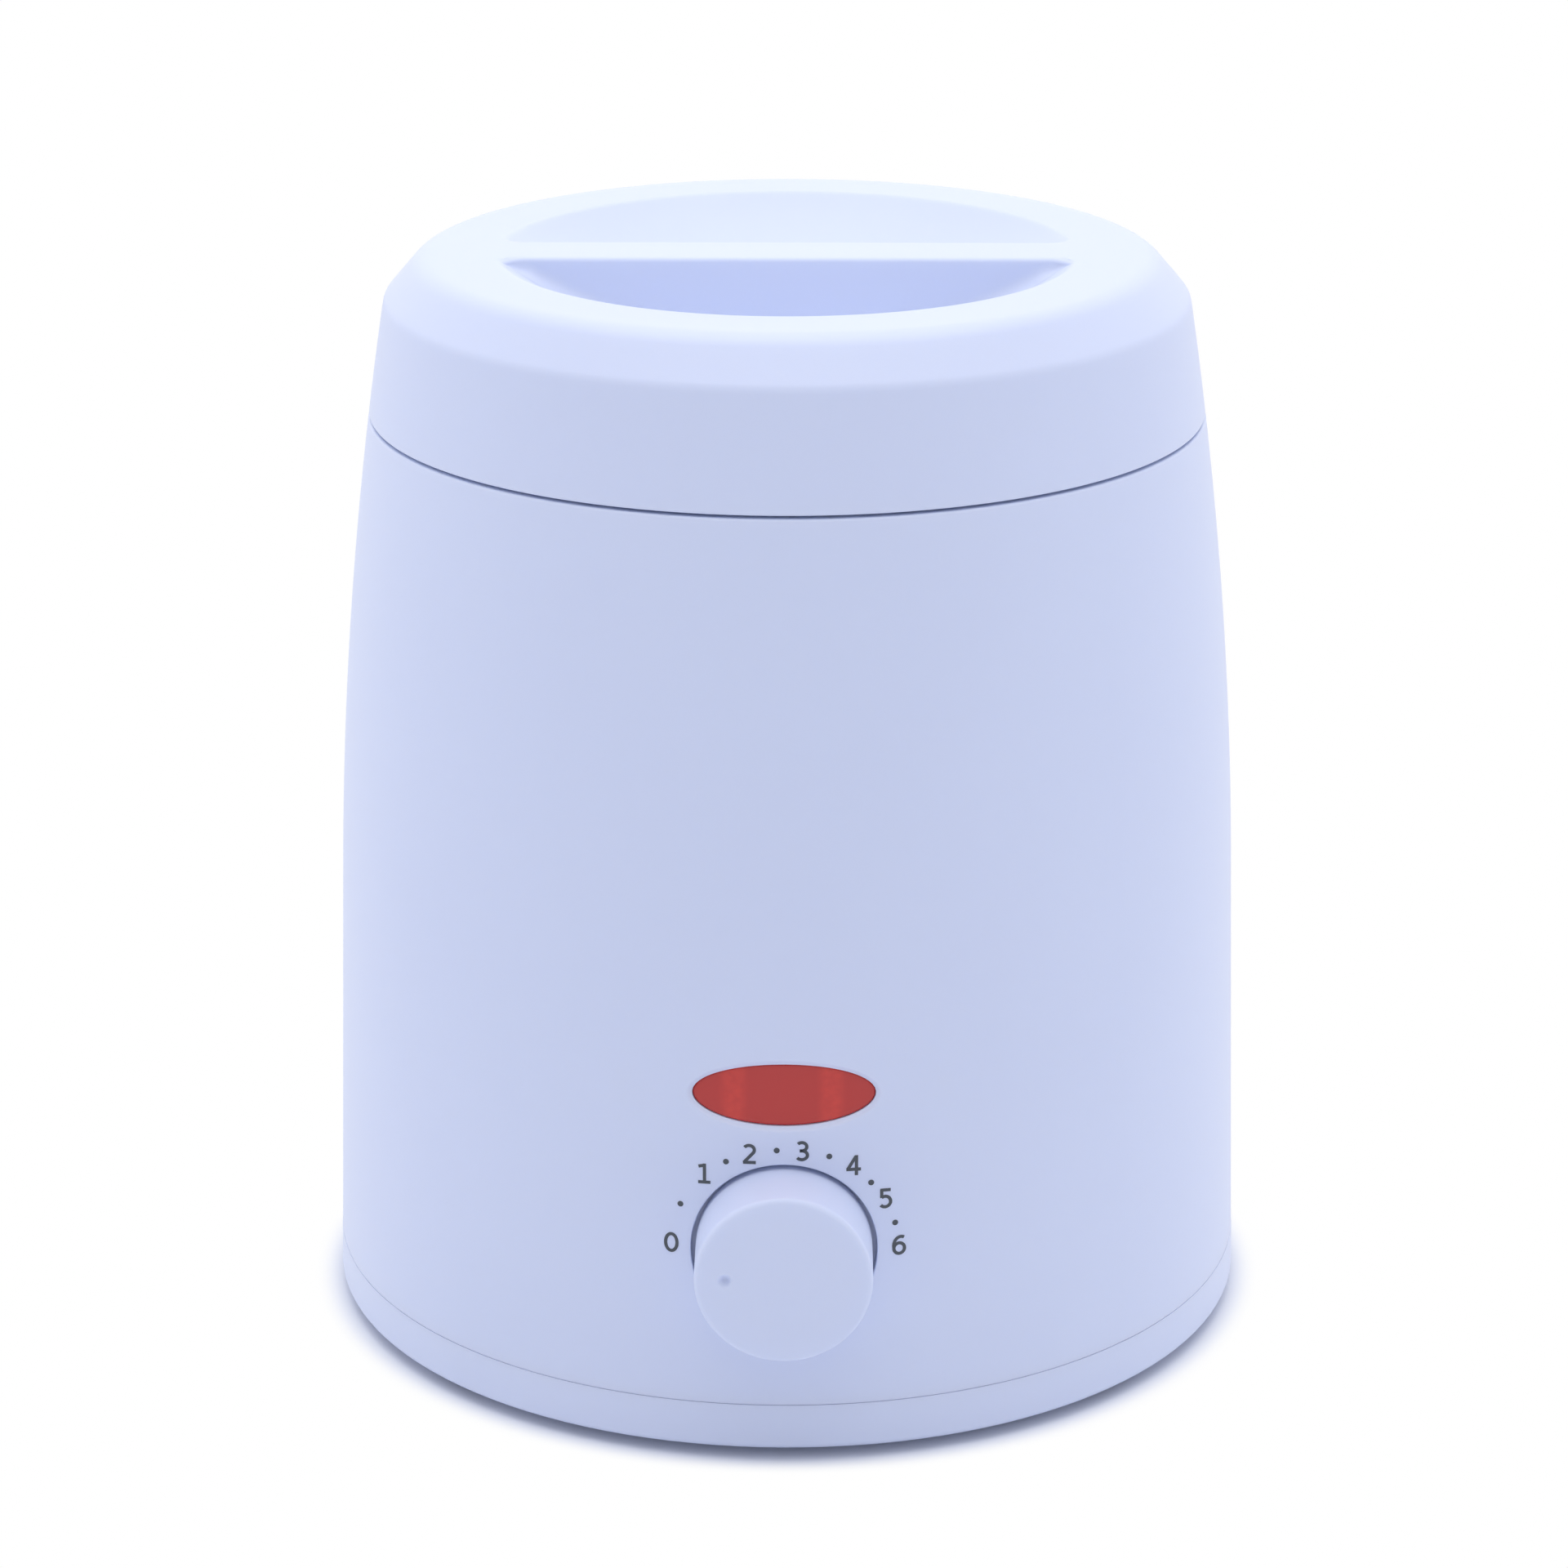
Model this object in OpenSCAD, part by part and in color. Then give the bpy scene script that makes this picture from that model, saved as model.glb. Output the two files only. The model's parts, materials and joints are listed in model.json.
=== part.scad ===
// Mini wax warmer: a moulded round housing with a lift-off lid, a removable wax pot that stands in
// a heated well, and a thermostat knob and an indicator window at the front.
// Millimetres, +Z up, front towards -Y. The origin is on the vertical axis, where the feet stand.

/* [Housing] */
// Diameter of the body at its base
base_d = 130; // [128:1:136]
// Height of the seam between housing and lid
seam_z = 128; // [126:1:134]
// Wall of the housing
housing_wall = 2.2; // [1.8:0.1:2.6]
// How much the radius shrinks per millimetre of height
side_slope = 0.032; // [0.02:0.001:0.036]
// Height at which the side starts to curve inwards
curve_start = 64; // [56:1:72]
// Radius of that curve
curve_r = 594; // [560:2:900]
// Depth of the deck that carries the well, below the seam
deck_drop = 4; // [3.5:0.1:5]

/* [Base] */
// Height of the base rim above the table
stand_gap = 1.5; // [1:0.1:2.5]
// Height of the base cover's rim
cover_rim_h = 6.5; // [6:0.1:8]
// Thickness of the base cover
cover_t = 2.2; // [2:0.1:2.6]
// Gap along the parting line above the rim
parting_gap = 0.2; // [0.1:0.05:0.3]
// Diameter of a rubber foot
foot_d = 12; // [9:0.5:14]
// Depth of a foot's seat in the cover
foot_seat = 1; // [0.6:0.1:1.2]
// Distance of the feet from the axis
foot_pitch_r = 43; // [36:1:44]
// Distance of the base screws from the axis
base_screw_pitch_r = 56; // [54.5:0.5:57]
// Diameter of the base screws
base_screw_d = 3; // [2.5:0.1:3.5]
// Length of the base screws under the head
base_screw_len = 12; // [8:1:16]

/* [Lid] */
// Height of the lid above the seam
lid_h = 22; // [20:0.5:26]
// Wall of the lid
lid_wall = 2; // [1.6:0.1:2.4]
// Visible gap at the seam
seam_gap = 0.4; // [0.3:0.05:0.6]
// Height of the sloping shoulder
shoulder_h = 5.8; // [4.5:0.1:7]
// Width of the sloping shoulder
shoulder_w = 5; // [4:0.1:6]
// Radius of the shoulder's lower edge
shoulder_low_r = 2.5; // [1.5:0.1:3]
// Radius of the shoulder's upper edge
shoulder_top_r = 4; // [2.5:0.1:5]
// Width of the flat ring round the finger recess
ring_w = 10.5; // [8:0.1:12]
// Depth of the dished finger recess in the middle
recess_depth = 12.5; // [10:0.5:13]
// Radius of the corners of the finger recess
recess_corner_r = 3; // [2:0.5:5]
// Width of the grip bar across the recess
bar_w = 10.4; // [9:0.1:14]

/* [Pot and well] */
// Width of the well's flange
flange_w = 11.8; // [11:0.1:14]
// Depth of the wax pot
pot_depth = 52; // [46:1:54]
// Wall of the wax pot
pot_wall = 1.2; // [1:0.1:1.5]
// Height of the pot's rim bead
bead_h = 1.4; // [1:0.1:1.6]
// How far the bead stands out
bead_w = 1.5; // [1:0.1:1.8]
// Wire of the bail handle
bail_wire_d = 2.4; // [2:0.1:2.6]
// Thickness of the bail's ears
ear_t = 3.1; // [2.4:0.1:3.2]
// Width of the bail's ears
ear_w = 9; // [7:0.5:11]
// Wall of the heating well
well_wall = 1.5; // [1.2:0.1:1.8]
// Thickness of the gasket under the well's flange
gasket_t = 1; // [0.8:0.1:1.2]
// Diameter of the well's flange screws
well_screw_d = 2.9; // [2.5:0.1:3]
// Height of the heater band
band_h = 22; // [18:1:24]
// Thickness of the heater band
band_t = 2.2; // [1.8:0.1:2.4]
// Height of the insulation wrap
wrap_h = 28; // [25:0.5:29]
// Thickness of the insulation wrap
wrap_t = 5; // [4:0.5:5.5]

/* [Knob and thermostat] */
// Height of the knob's axis
knob_z = 30; // [29:0.5:31]
// Diameter of the knob
knob_d = 23.3; // [21.5:0.1:24.5]
// How far the knob stands out of the housing
knob_proud = 8.9; // [7:0.1:11]
// Wall of the knob
knob_wall = 1.8; // [1.4:0.1:2.2]
// Radius of the knob's front edge
knob_edge_r = 1; // [0.5:0.1:1.4]
// Gap between the knob and its pocket
pocket_gap = 0.65; // [0.5:0.05:1]
// Depth of the pocket
pocket_depth = 3.2; // [2.8:0.1:3.6]
// Diameter of the thermostat's shaft
shaft_d = 6; // [5:0.1:6.4]
// Running clearance of the shaft
shaft_clear = 0.05; // [0.03:0.01:0.08]
// Width of the thermostat
thermostat_w = 30; // [26:1:34]
// Depth of the thermostat
thermostat_t = 18; // [15:1:20]
// Height of the thermostat
thermostat_h = 24; // [20:1:24]

/* [Indicator] */
// Height of the window's centre
lens_z = 51.9; // [51:0.1:56]
// Width of the window
lens_w = 24; // [20:0.5:26]
// Height of the window
lens_h = 8.6; // [7:0.1:9]
// How far the lens lies below the housing's surface
lens_inset = 0.6; // [0.4:0.1:0.9]
// Diameter of the lamp
lamp_d = 5; // [4:0.5:5.5]

/* [Cord inlet] */
// Height of the gland's axis
gland_z = 17; // [17:0.5:20]
// How far the gland stands out of the housing
gland_proud = 8.5; // [7:0.1:11]
// Bore of the gland
gland_bore_d = 6.6; // [6:0.1:7]
// Diameter of the gland's thread
gland_thread_d = 12; // [11:0.1:13]

/* [Hidden] */
$fn = 96;

// Clearances
seat_gap = 0.3;        // between a loose piece and what it rests on
thread_gap = 0.05;     // between a screw and its pilot hole
pivot_gap = 0.05;      // round the bail's ends
screw_gap = 0.3;       // round a screw in a clearance hole
past = 1;              // how far a cut runs past the face that it opens

// Base
rim_top = stand_gap + cover_rim_h;
cover_top = stand_gap + cover_t;
shell_z = rim_top + parting_gap;
lip_h = 3;
lip_t = 1.5;
lip_gap = 0.3;
screw_seat_z = stand_gap + 2.5;
cover_boss_top = screw_seat_z + cover_t;
base_head_h = 2;
base_head_d = 5.6;
shell_boss_d = base_screw_d + 5;
shell_boss_h = base_screw_len;

// Seam, deck and lid
total_h = seam_z + lid_h;
lid_z = seam_z + seam_gap;
deck_z = seam_z - deck_drop;
deck_t = 2.2;
deck_under_z = deck_z - deck_t;
deck_gap = 0.1;
deck_r = body_r(deck_z) - housing_wall - deck_gap;
ledge_w = 2;
ledge_h = 2;
skirt_out = body_r(seam_z) - housing_wall - lip_gap;
skirt_in = skirt_out - lid_wall;
skirt_z = deck_z + seat_gap;
shoulder_z = total_h - shoulder_h;
ring_r = body_r(shoulder_z) - shoulder_w;
recess_r = ring_r - ring_w;
recess_floor_z = total_h - recess_depth;
lid_under_z = recess_floor_z - lid_wall;
dish_r = (recess_r * recess_r + recess_depth * recess_depth) / (2 * recess_depth);
dish_z = recess_floor_z + dish_r;
dish_under_r = dish_r + lid_wall;
dish_meet_r = sqrt(pow(dish_under_r, 2) - pow(dish_z - total_h + lid_wall, 2));

// Pot
pot_gap = 0.5;
flange_r = skirt_in - 1;
well_in_r = flange_r - flange_w;
pot_r = well_in_r - pot_gap;
pot_in_r = pot_r - pot_wall;
pot_lid_gap = 1.5;
pot_rim_z = lid_under_z - pot_lid_gap;
pot_z = pot_rim_z - pot_depth - pot_wall;
pot_corner_r = 4;

// Well
well_r = well_in_r + well_wall;
well_floor_z = pot_z - seat_gap;
well_z = well_floor_z - well_wall;
flange_z = deck_z + gasket_t;
flange_top = flange_z + well_wall;
deck_hole_r = well_r + 1.3;
well_screw_pitch_r = flange_r - 3.2;
well_screw_count = 3;
well_screw_turn = 90;
well_screw_len = 10;
well_head_h = 1.5;
well_head_d = 5;
deck_boss_d = well_screw_d + 4;
deck_boss_h = 8;

// Bail and ears
bail_wire_r = bail_wire_d / 2;
ear_z = flange_top + 0.5;
ear_top = pot_rim_z - bead_h - 0.2;
ear_face = pot_r + ear_t;
bail_r = ear_face + seat_gap + bail_wire_r;
bail_z = (ear_z + ear_top) / 2;
bail_tip_r = pot_r + 0.5;

// Heater
band_r = well_r + 0.1;
band_out_r = band_r + band_t;
band_z = well_z + 6;
band_split = 8;
lug_t = 1.2;
lug_out = 5.4;
lug_y = band_out_r - 0.6;
clamp_d = 3;
clamp_z = band_z + band_h / 2;
clamp_head_d = 5;
clamp_y = lug_y + clamp_head_d / 2 + 0.45;
clamp_head_h = 2;
clamp_nut_h = 2.4;
clamp_nut_d = 5.6;
wrap_r = band_out_r + seat_gap;
wrap_out_r = wrap_r + wrap_t;
wrap_z = band_z - 2;
wrap_split = 24;
tie_t = 0.7;
tie_h = 4;
tie_inset = 3;

// What hangs on the stud under the well
stud_r = 2;
stud_len = 13;
bulb_r = 3;
bulb_len = 36;
bulb_y = 14;
fuse_len = 24;
bulb_z = well_z - seat_gap - bulb_r;
clip_t = 0.8;
clip_top = bulb_z - bulb_r - seat_gap;
clip_z = clip_top - clip_t;
clip_w = 12;
clip_reach = bulb_y + bulb_r + 1;
shield_t = 0.6;
shield_z = clip_z - shield_t;
shield_r = well_r + 2.3;
shield_h = well_z - shield_z;
tag_t = 0.8;
tag_z = shield_z - tag_t;
tag_len = 11;
stud_nut_h = 3.2;
stud_nut_d = 8;
spacer_r = 4.5;

// Knob and thermostat
front_r = body_r(knob_z);
pocket_r = knob_d / 2 + pocket_gap;
pocket_y = -(front_r - pocket_depth);
pocket_back = pocket_y + housing_wall;
knob_face_y = -(front_r + knob_proud);
knob_back_y = pocket_y - 0.5;
knob_r = knob_d / 2;
dimple_r = 0.9;
dimple_pitch = 8;
dimple_depth = 0.25;
knob_boss_r = shaft_d / 2 + 2;
shaft_r = shaft_d / 2;
shaft_flat = 0.8;
shaft_seat = 6;
bush_r = shaft_r + 1.6;
bush_end_y = pocket_y - 0.4;
bracket_t = 1.2;
bracket_y = pocket_back;
thermostat_y = bracket_y + bracket_t;
thermostat_back = thermostat_y + thermostat_t;
tab_x = 9;
tab_z = knob_z - 6;
tab_w = 4.8;
tab_t = 0.8;
tab_len = 6;
csk_x = 8.6;
csk_d = 3;
csk_head_d = 5.4;
csk_head_h = 1.4;
csk_len = 5.4;

// Indicator
lens_gap = 0.15;
lens_t = 1.5;
lens_flange = 2.5;
rim_w = 0.6;
rim_depth = 0.4;
lamp_post_x = 18.5;
lamp_post_r = 3;
lamp_post_y = -(body_r(lens_z) - 13.5);
lamp_screw_d = 2.5;
lamp_screw_len = 7;
lamp_head_d = 4.4;
lamp_head_h = 1.6;
lamp_bracket_t = 1.5;
lamp_bracket_w = 2 * (lamp_post_x + lamp_post_r);
lamp_bracket_h = 10;
lamp_len = 12;
lamp_y = lamp_post_y - lamp_d / 2 - 0.8;
resistor_r = 1.2;
resistor_len = 7;

// Terminal block
block_w = 32;
block_l = 16;
block_h = 13;
block_y = 32;
block_pad = 2;
block_z = cover_top + block_pad;
block_top = block_z + block_h;
block_screw_d = 3;
block_head_d = 5;
block_head_h = 1.8;
block_seat = 2.4;
block_seat_z = block_top - block_seat;
way_x = [-10.5, -3.5, 3.5, 10.5];
way_y = 4.6;
way_r = 1.6;
way_depth = 4;
way_screw_h = 2.8;

// Cord inlet
back_r = body_r(gland_z);
gland_pad = 0.8;
gland_pad_r = 9;
gland_pad_y = back_r + gland_pad;
gland_seat_y = back_r - housing_wall - gland_pad;
gland_end_y = back_r + gland_proud;
gland_hex_d = 16;
gland_hex_t = 3;
gland_nut_d = 15;
gland_nut_t = 3;
gland_in_y = gland_seat_y - gland_nut_t - 1.5;
gland_r = gland_thread_d / 2;

// Leads
lead_r = 1;
capillary_r = 0.9;
lead_sides = 8;
capillary_hole = [28, -17];
capillary_hole_r = 3;

// Radius of the outside at height z: a straight taper that turns into a shallow arc
function body_r(z) = base_d / 2 - side_slope * (z - stand_gap)
    - pow(max(0, z - curve_start), 2) / (2 * curve_r);

// Heights between two levels, one every few millimetres, for the turned outline
function levels(z0, z1, step = 4) = let (n = max(1, round((z1 - z0) / step)))
    [for (i = [0:n]) z0 + (z1 - z0) * i / n];

function unit(v) = v / norm(v);

function between(a, b, t) = a + (b - a) * t;

// Point of a lead that bows out from the straight way by [x, y]
function lead_point(a, b, t, bow) = between(a, b, t) + [bow.x, bow.y, 0];

// Arc that replaces the corner p between a and b
function corner(a, p, b, r, n = 6) = let (
        u = unit(a - p), v = unit(b - p), half = acos(u * v) / 2,
        c = p + unit(u + v) * r / sin(half),
        s = p + u * r / tan(half) - c, e = p + v * r / tan(half) - c,
        turn = atan2(s.x * e.y - s.y * e.x, s * e))
    [for (i = [0:n]) let (q = turn * i / n)
        c + [s.x * cos(q) - s.y * sin(q), s.x * sin(q) + s.y * cos(q)]];

// Closed outline from [x, y, corner radius] points
function rounded(pts) = let (n = len(pts)) [for (i = [0:n - 1]) let (
        a = pts[(i + n - 1) % n], p = pts[i], b = pts[(i + 1) % n])
    each (p.z == 0 ? [[p.x, p.y]] : corner([a.x, a.y], [p.x, p.y], [b.x, b.y], p.z))];

// Points of an ellipse
function ellipse(w, h, n = 48) = [for (i = [0:n - 1]) [w / 2 * cos(360 * i / n), h / 2 * sin(360 * i / n)]];

// What lies in front of a chord of the circle r, with rounded corners where the chord meets the circle
function before_chord(r, chord, fillet, n = 12) = let (
        cy = chord + fillet, cx = sqrt(pow(r - fillet, 2) - cy * cy), edge = atan2(cy, cx))
    concat([for (i = [0:n]) let (q = edge + (180 - 2 * edge) * i / n) 1.1 * r * [cos(q), -sin(q)]],
           [for (i = [0:8]) let (q = 180 - edge + (90 + edge) * i / 8)
               [-cx + fillet * cos(q), -cy - fillet * sin(q)]],
           [for (i = [0:8]) let (q = 270 + (90 + edge) * i / 8)
               [cx + fillet * cos(q), -cy - fillet * sin(q)]]);

// Outline of a dish of radius r round the height dish_z, from the axis out to the radius edge_r
function dish(r, edge_r, n = 10) = let (edge = asin(edge_r / r))
    [for (i = [0:n]) [r * sin(edge * i / n), dish_z - r * cos(edge * i / n)]];

// Smooth curve through hand-chosen points
function bend(a, b, c, d, t) = 0.5 * ((2 * b) + (c - a) * t + (2 * a - 5 * b + 4 * c - d) * t * t
    + (3 * b - a - 3 * c + d) * t * t * t);
function smooth(p, n = 3) = let (m = len(p) - 1) concat([for (i = [0:m - 1]) for (j = [0:n - 1])
        bend(p[max(0, i - 1)], p[i], p[i + 1], p[min(m, i + 2)], j / n)], [p[m]]);

module lead(points, r) {
    path = smooth(points);
    m = len(path) - 1;
    rings = [for (i = [0:m]) let (
            t = unit(path[min(m, i + 1)] - path[max(0, i - 1)]),
            side = unit(cross(t, [0.31, 0.11, 0.07])), over = cross(t, side))
        for (k = [0:lead_sides - 1]) let (q = 360 * k / lead_sides)
            path[i] + r * (cos(q) * side + sin(q) * over)];
    walls = [for (i = [0:m - 1]) for (k = [0:lead_sides - 1]) let (
            a = i * lead_sides + k, b = i * lead_sides + (k + 1) % lead_sides)
        each [[a, a + lead_sides, b], [b, a + lead_sides, b + lead_sides]]];
    ends = [[for (k = [0:lead_sides - 1]) k], [for (k = [lead_sides - 1:-1:0]) m * lead_sides + k]];
    polyhedron(rings, concat(walls, ends));
}

// Solid of revolution that the housing's outside is the skin of, moved inwards by inset
module body_solid(z0, z1, inset = 0) {
    zs = levels(z0, z1);
    rotate_extrude() polygon(concat([[0, z0]], [for (z = zs) [body_r(z) - inset, z]], [[0, z1]]));
}

module ring(r_out, r_in, h) {
    difference() {
        cylinder(r = r_out, h = h);
        translate([0, 0, -past]) cylinder(r = r_in, h = h + 2 * past);
    }
}

// Turns +Z to +Y and stands at the given place
module facing_back(x, y, z) {
    translate([x, y, z]) rotate([-90, 0, 0]) children();
}

module on_diagonals(r) {
    for (a = [45:90:315]) rotate([0, 0, a]) translate([r, 0, 0]) children();
}

module on_flange() {
    for (i = [0:well_screw_count - 1])
        rotate([0, 0, well_screw_turn + 360 * i / well_screw_count])
            translate([well_screw_pitch_r, 0, 0]) children();
}

module at_window(z = lens_z) {
    translate([0, 0, z]) rotate([90, 0, 0]) children();
}

module housing_shell() {
    wall_zs = levels(shell_z, seam_z);
    in_zs = levels(shell_z + lip_h, seam_z);
    lip_out = body_r(rim_top) - housing_wall - lip_gap;
    lip_in = lip_out - lip_t;
    boss_z = cover_boss_top;
    color("lavender") difference() {
        union() {
            rotate_extrude() polygon(concat(
                [[lip_in, shell_z - lip_h], [lip_out, shell_z - lip_h], [lip_out, shell_z]],
                [for (z = wall_zs) [body_r(z), z]],
                [for (i = [len(in_zs) - 1:-1:0]) [body_r(in_zs[i]) - housing_wall, in_zs[i]]],
                [[lip_in, shell_z + 1]]));
            translate([0, 0, deck_under_z - ledge_h])
                ring(body_r(deck_under_z) - housing_wall / 2, deck_r - ledge_w, ledge_h);
            on_diagonals(base_screw_pitch_r) translate([0, 0, boss_z]) {
                cylinder(d = shell_boss_d, h = shell_boss_h);
                translate([0, -1, shell_z - boss_z + lip_h])
                    cube([body_r(boss_z + shell_boss_h) - housing_wall / 2 - base_screw_pitch_r, 2,
                          shell_boss_h - (shell_z - boss_z + lip_h)]);
            }
            intersection() {
                facing_back(0, -base_d, knob_z)
                    cylinder(r = pocket_r + housing_wall, h = base_d + pocket_back);
                body_solid(shell_z, seam_z);
            }
            for (side = [-1, 1]) intersection() {
                facing_back(side * lamp_post_x, -base_d, lens_z)
                    cylinder(r = lamp_post_r, h = base_d + lamp_post_y);
                body_solid(shell_z, seam_z, housing_wall / 2);
            }
            facing_back(0, gland_seat_y, gland_z) cylinder(r = gland_pad_r, h = gland_pad_y - gland_seat_y);
        }
        facing_back(0, -base_d, knob_z) cylinder(r = pocket_r, h = base_d + pocket_y);
        facing_back(0, pocket_y - past, knob_z)
            cylinder(r = bush_r + screw_gap, h = housing_wall + 2 * past);
        for (side = [-1, 1]) {
            facing_back(side * csk_x, pocket_y, knob_z)
                cylinder(r1 = csk_head_d / 2 + thread_gap, r2 = csk_d / 2 + thread_gap, h = csk_head_h);
            facing_back(side * csk_x, pocket_y, knob_z)
                cylinder(d = csk_d + screw_gap, h = housing_wall + past);
            facing_back(side * lamp_post_x, lamp_post_y - lamp_screw_len - past, lens_z)
                cylinder(d = lamp_screw_d + 2 * thread_gap, h = lamp_screw_len + 2 * past);
        }
        at_window() linear_extrude(height = base_d) polygon(ellipse(lens_w, lens_h));
        difference() {
            at_window() linear_extrude(height = base_d)
                polygon(ellipse(lens_w + 2 * rim_w, lens_h + 2 * rim_w));
            body_solid(shell_z, seam_z, rim_depth);
        }
        on_diagonals(base_screw_pitch_r) translate([0, 0, boss_z - past])
            cylinder(d = base_screw_d + 2 * thread_gap, h = base_screw_len - 1 + past);
        facing_back(0, gland_seat_y - past, gland_z)
            cylinder(r = gland_r + thread_gap, h = gland_pad_y - gland_seat_y + 2 * past);
    }
}

module top_deck() {
    color("lavender") difference() {
        union() {
            translate([0, 0, deck_under_z]) ring(deck_r, deck_hole_r, deck_t);
            on_flange() translate([0, 0, deck_under_z - deck_boss_h])
                cylinder(d = deck_boss_d, h = deck_boss_h + deck_t / 2);
        }
        on_flange() translate([0, 0, deck_under_z - deck_boss_h - past])
            cylinder(d = well_screw_d + 2 * thread_gap, h = deck_boss_h + deck_t + 2 * past);
    }
}

module base_cover() {
    rim_in = body_r(rim_top) - housing_wall;
    color("lavender") difference() {
        union() {
            rotate_extrude() polygon(rounded([
                [0, stand_gap, 0], [body_r(stand_gap), stand_gap, 1], [body_r(rim_top), rim_top, 0],
                [rim_in, rim_top, 0], [rim_in, cover_top, 0], [0, cover_top, 0]]));
            on_diagonals(base_screw_pitch_r) translate([0, 0, stand_gap + cover_t / 2])
                cylinder(d = shell_boss_d, h = cover_boss_top - stand_gap - cover_t / 2);
            translate([-block_w / 2, block_y - block_l / 2, cover_top - past])
                cube([block_w, block_l, block_pad + past]);
        }
        on_diagonals(base_screw_pitch_r) {
            translate([0, 0, stand_gap - past])
                cylinder(d = base_head_d + 2 * screw_gap, h = screw_seat_z - stand_gap + past);
            cylinder(d = base_screw_d + 2 * screw_gap, h = max(cover_boss_top, rim_top) + past);
        }
        on_diagonals(foot_pitch_r) translate([0, 0, stand_gap - past])
            cylinder(d = foot_d, h = foot_seat + past);
        translate([0, block_y, cover_top - 1])
            cylinder(d = block_screw_d + 2 * thread_gap, h = block_pad + past + 1);
    }
}

module rubber_feet() {
    color("dimgray") on_diagonals(foot_pitch_r) rotate_extrude() polygon(rounded([
        [0, 0, 0], [foot_d / 2, 0, 0.5], [foot_d / 2, stand_gap + foot_seat, 0],
        [0, stand_gap + foot_seat, 0]]));
}

module pan_screw(d, len, head_d, head_h) {
    cylinder(d = d, h = len + head_h / 2);
    translate([0, 0, len]) difference() {
        cylinder(d = head_d, h = head_h);
        for (a = [0, 90]) rotate([0, 0, a])
            translate([-head_d * 0.3, -d * 0.12, head_h * 0.5]) cube([head_d * 0.6, d * 0.24, head_h]);
    }
}

module base_screws() {
    color("silver") on_diagonals(base_screw_pitch_r) translate([0, 0, screw_seat_z + base_screw_len])
        rotate([180, 0, 0]) pan_screw(base_screw_d, base_screw_len, base_head_d, base_head_h);
}

module lid() {
    side_zs = levels(lid_z, shoulder_z - shoulder_low_r);
    side_top = body_r(shoulder_z);
    shoulder = concat(
        corner([body_r(side_zs[0]), side_zs[0]], [side_top, shoulder_z], [ring_r, total_h], shoulder_low_r),
        corner([side_top, shoulder_z], [ring_r, total_h], [0, total_h], shoulder_top_r));
    inner_ring = ring_r - lid_wall * 0.45;
    color("lavender") difference() {
        rotate_extrude() polygon(concat(
            [[skirt_in, skirt_z], [skirt_out, skirt_z], [skirt_out, lid_z]],
            [for (z = side_zs) [body_r(z), z]], shoulder,
            [[0, total_h]], dish(dish_under_r, dish_meet_r),
            [[inner_ring, total_h - lid_wall], [side_top - lid_wall * 1.1, shoulder_z - lid_wall * 0.4],
             [skirt_in, lid_z + 2]]));
        intersection() {
            rotate_extrude() polygon(concat(
                dish(dish_r, recess_r), [[recess_r, total_h + past], [0, total_h + past]]));
            for (side = [0, 180]) rotate([0, 0, side]) translate([0, 0, recess_floor_z - past])
                linear_extrude(height = recess_depth + 3 * past)
                    polygon(before_chord(recess_r, bar_w / 2, recess_corner_r));
        }
        translate([-recess_r + lid_wall, -bar_w / 2 + lid_wall, lid_under_z - past])
            cube([2 * (recess_r - lid_wall), bar_w - 2 * lid_wall,
                  total_h - lid_wall - lid_under_z + past]);
    }
}

module wax_pot() {
    color("gainsboro") rotate_extrude() polygon(rounded([
        [0, pot_z, 0], [pot_r, pot_z, pot_corner_r], [pot_r, pot_rim_z - bead_h, 0],
        [pot_r + bead_w, pot_rim_z - bead_h, 0.5], [pot_r + bead_w, pot_rim_z, 0.5],
        [pot_in_r, pot_rim_z, 0.4], [pot_in_r, pot_z + pot_wall, pot_corner_r - pot_wall],
        [0, pot_z + pot_wall, 0]]));
}

module pot_ears() {
    color("silver") for (side = [0, 180]) rotate([0, 0, side]) difference() {
        translate([pot_r - 1, -ear_w / 2, ear_z]) cube([ear_t + 1, ear_w, ear_top - ear_z]);
        translate([0, 0, ear_z - past]) cylinder(r = pot_r, h = ear_top - ear_z + 2 * past);
        translate([pot_r - past, 0, bail_z]) rotate([0, 90, 0])
            cylinder(r = bail_wire_r + pivot_gap, h = ear_t + 2 * past);
    }
}

module bail_handle() {
    color("silver") translate([0, 0, bail_z]) {
        rotate_extrude(angle = 180) translate([bail_r, 0]) circle(r = bail_wire_r, $fn = 48);
        for (side = [0, 180]) rotate([0, 0, side]) {
            translate([bail_r, 0, 0]) sphere(r = bail_wire_r, $fn = 48);
            translate([bail_tip_r, 0, 0]) rotate([0, 90, 0])
                cylinder(r = bail_wire_r, h = bail_r - bail_tip_r, $fn = 48);
        }
    }
}

module heating_well() {
    color("silver") difference() {
        union() {
            rotate_extrude() polygon(rounded([
                [0, well_z, 0], [well_r, well_z, pot_corner_r + pot_gap + well_wall], [well_r, flange_z, 0],
                [flange_r, flange_z, 0], [flange_r, flange_top, 0.4], [well_in_r, flange_top, 1],
                [well_in_r, well_floor_z, pot_corner_r + pot_gap], [0, well_floor_z, 0]]));
            translate([0, 0, well_z - stud_len]) cylinder(r = stud_r, h = stud_len + well_wall / 2);
        }
        on_flange() translate([0, 0, flange_z - past])
            cylinder(d = well_screw_d + screw_gap, h = well_wall + 2 * past);
    }
}

module well_gasket() {
    color("salmon") difference() {
        translate([0, 0, deck_z]) ring(flange_r, deck_hole_r + 0.5, gasket_t);
        on_flange() translate([0, 0, deck_z - past])
            cylinder(d = well_screw_d + screw_gap, h = gasket_t + 2 * past);
    }
}

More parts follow.
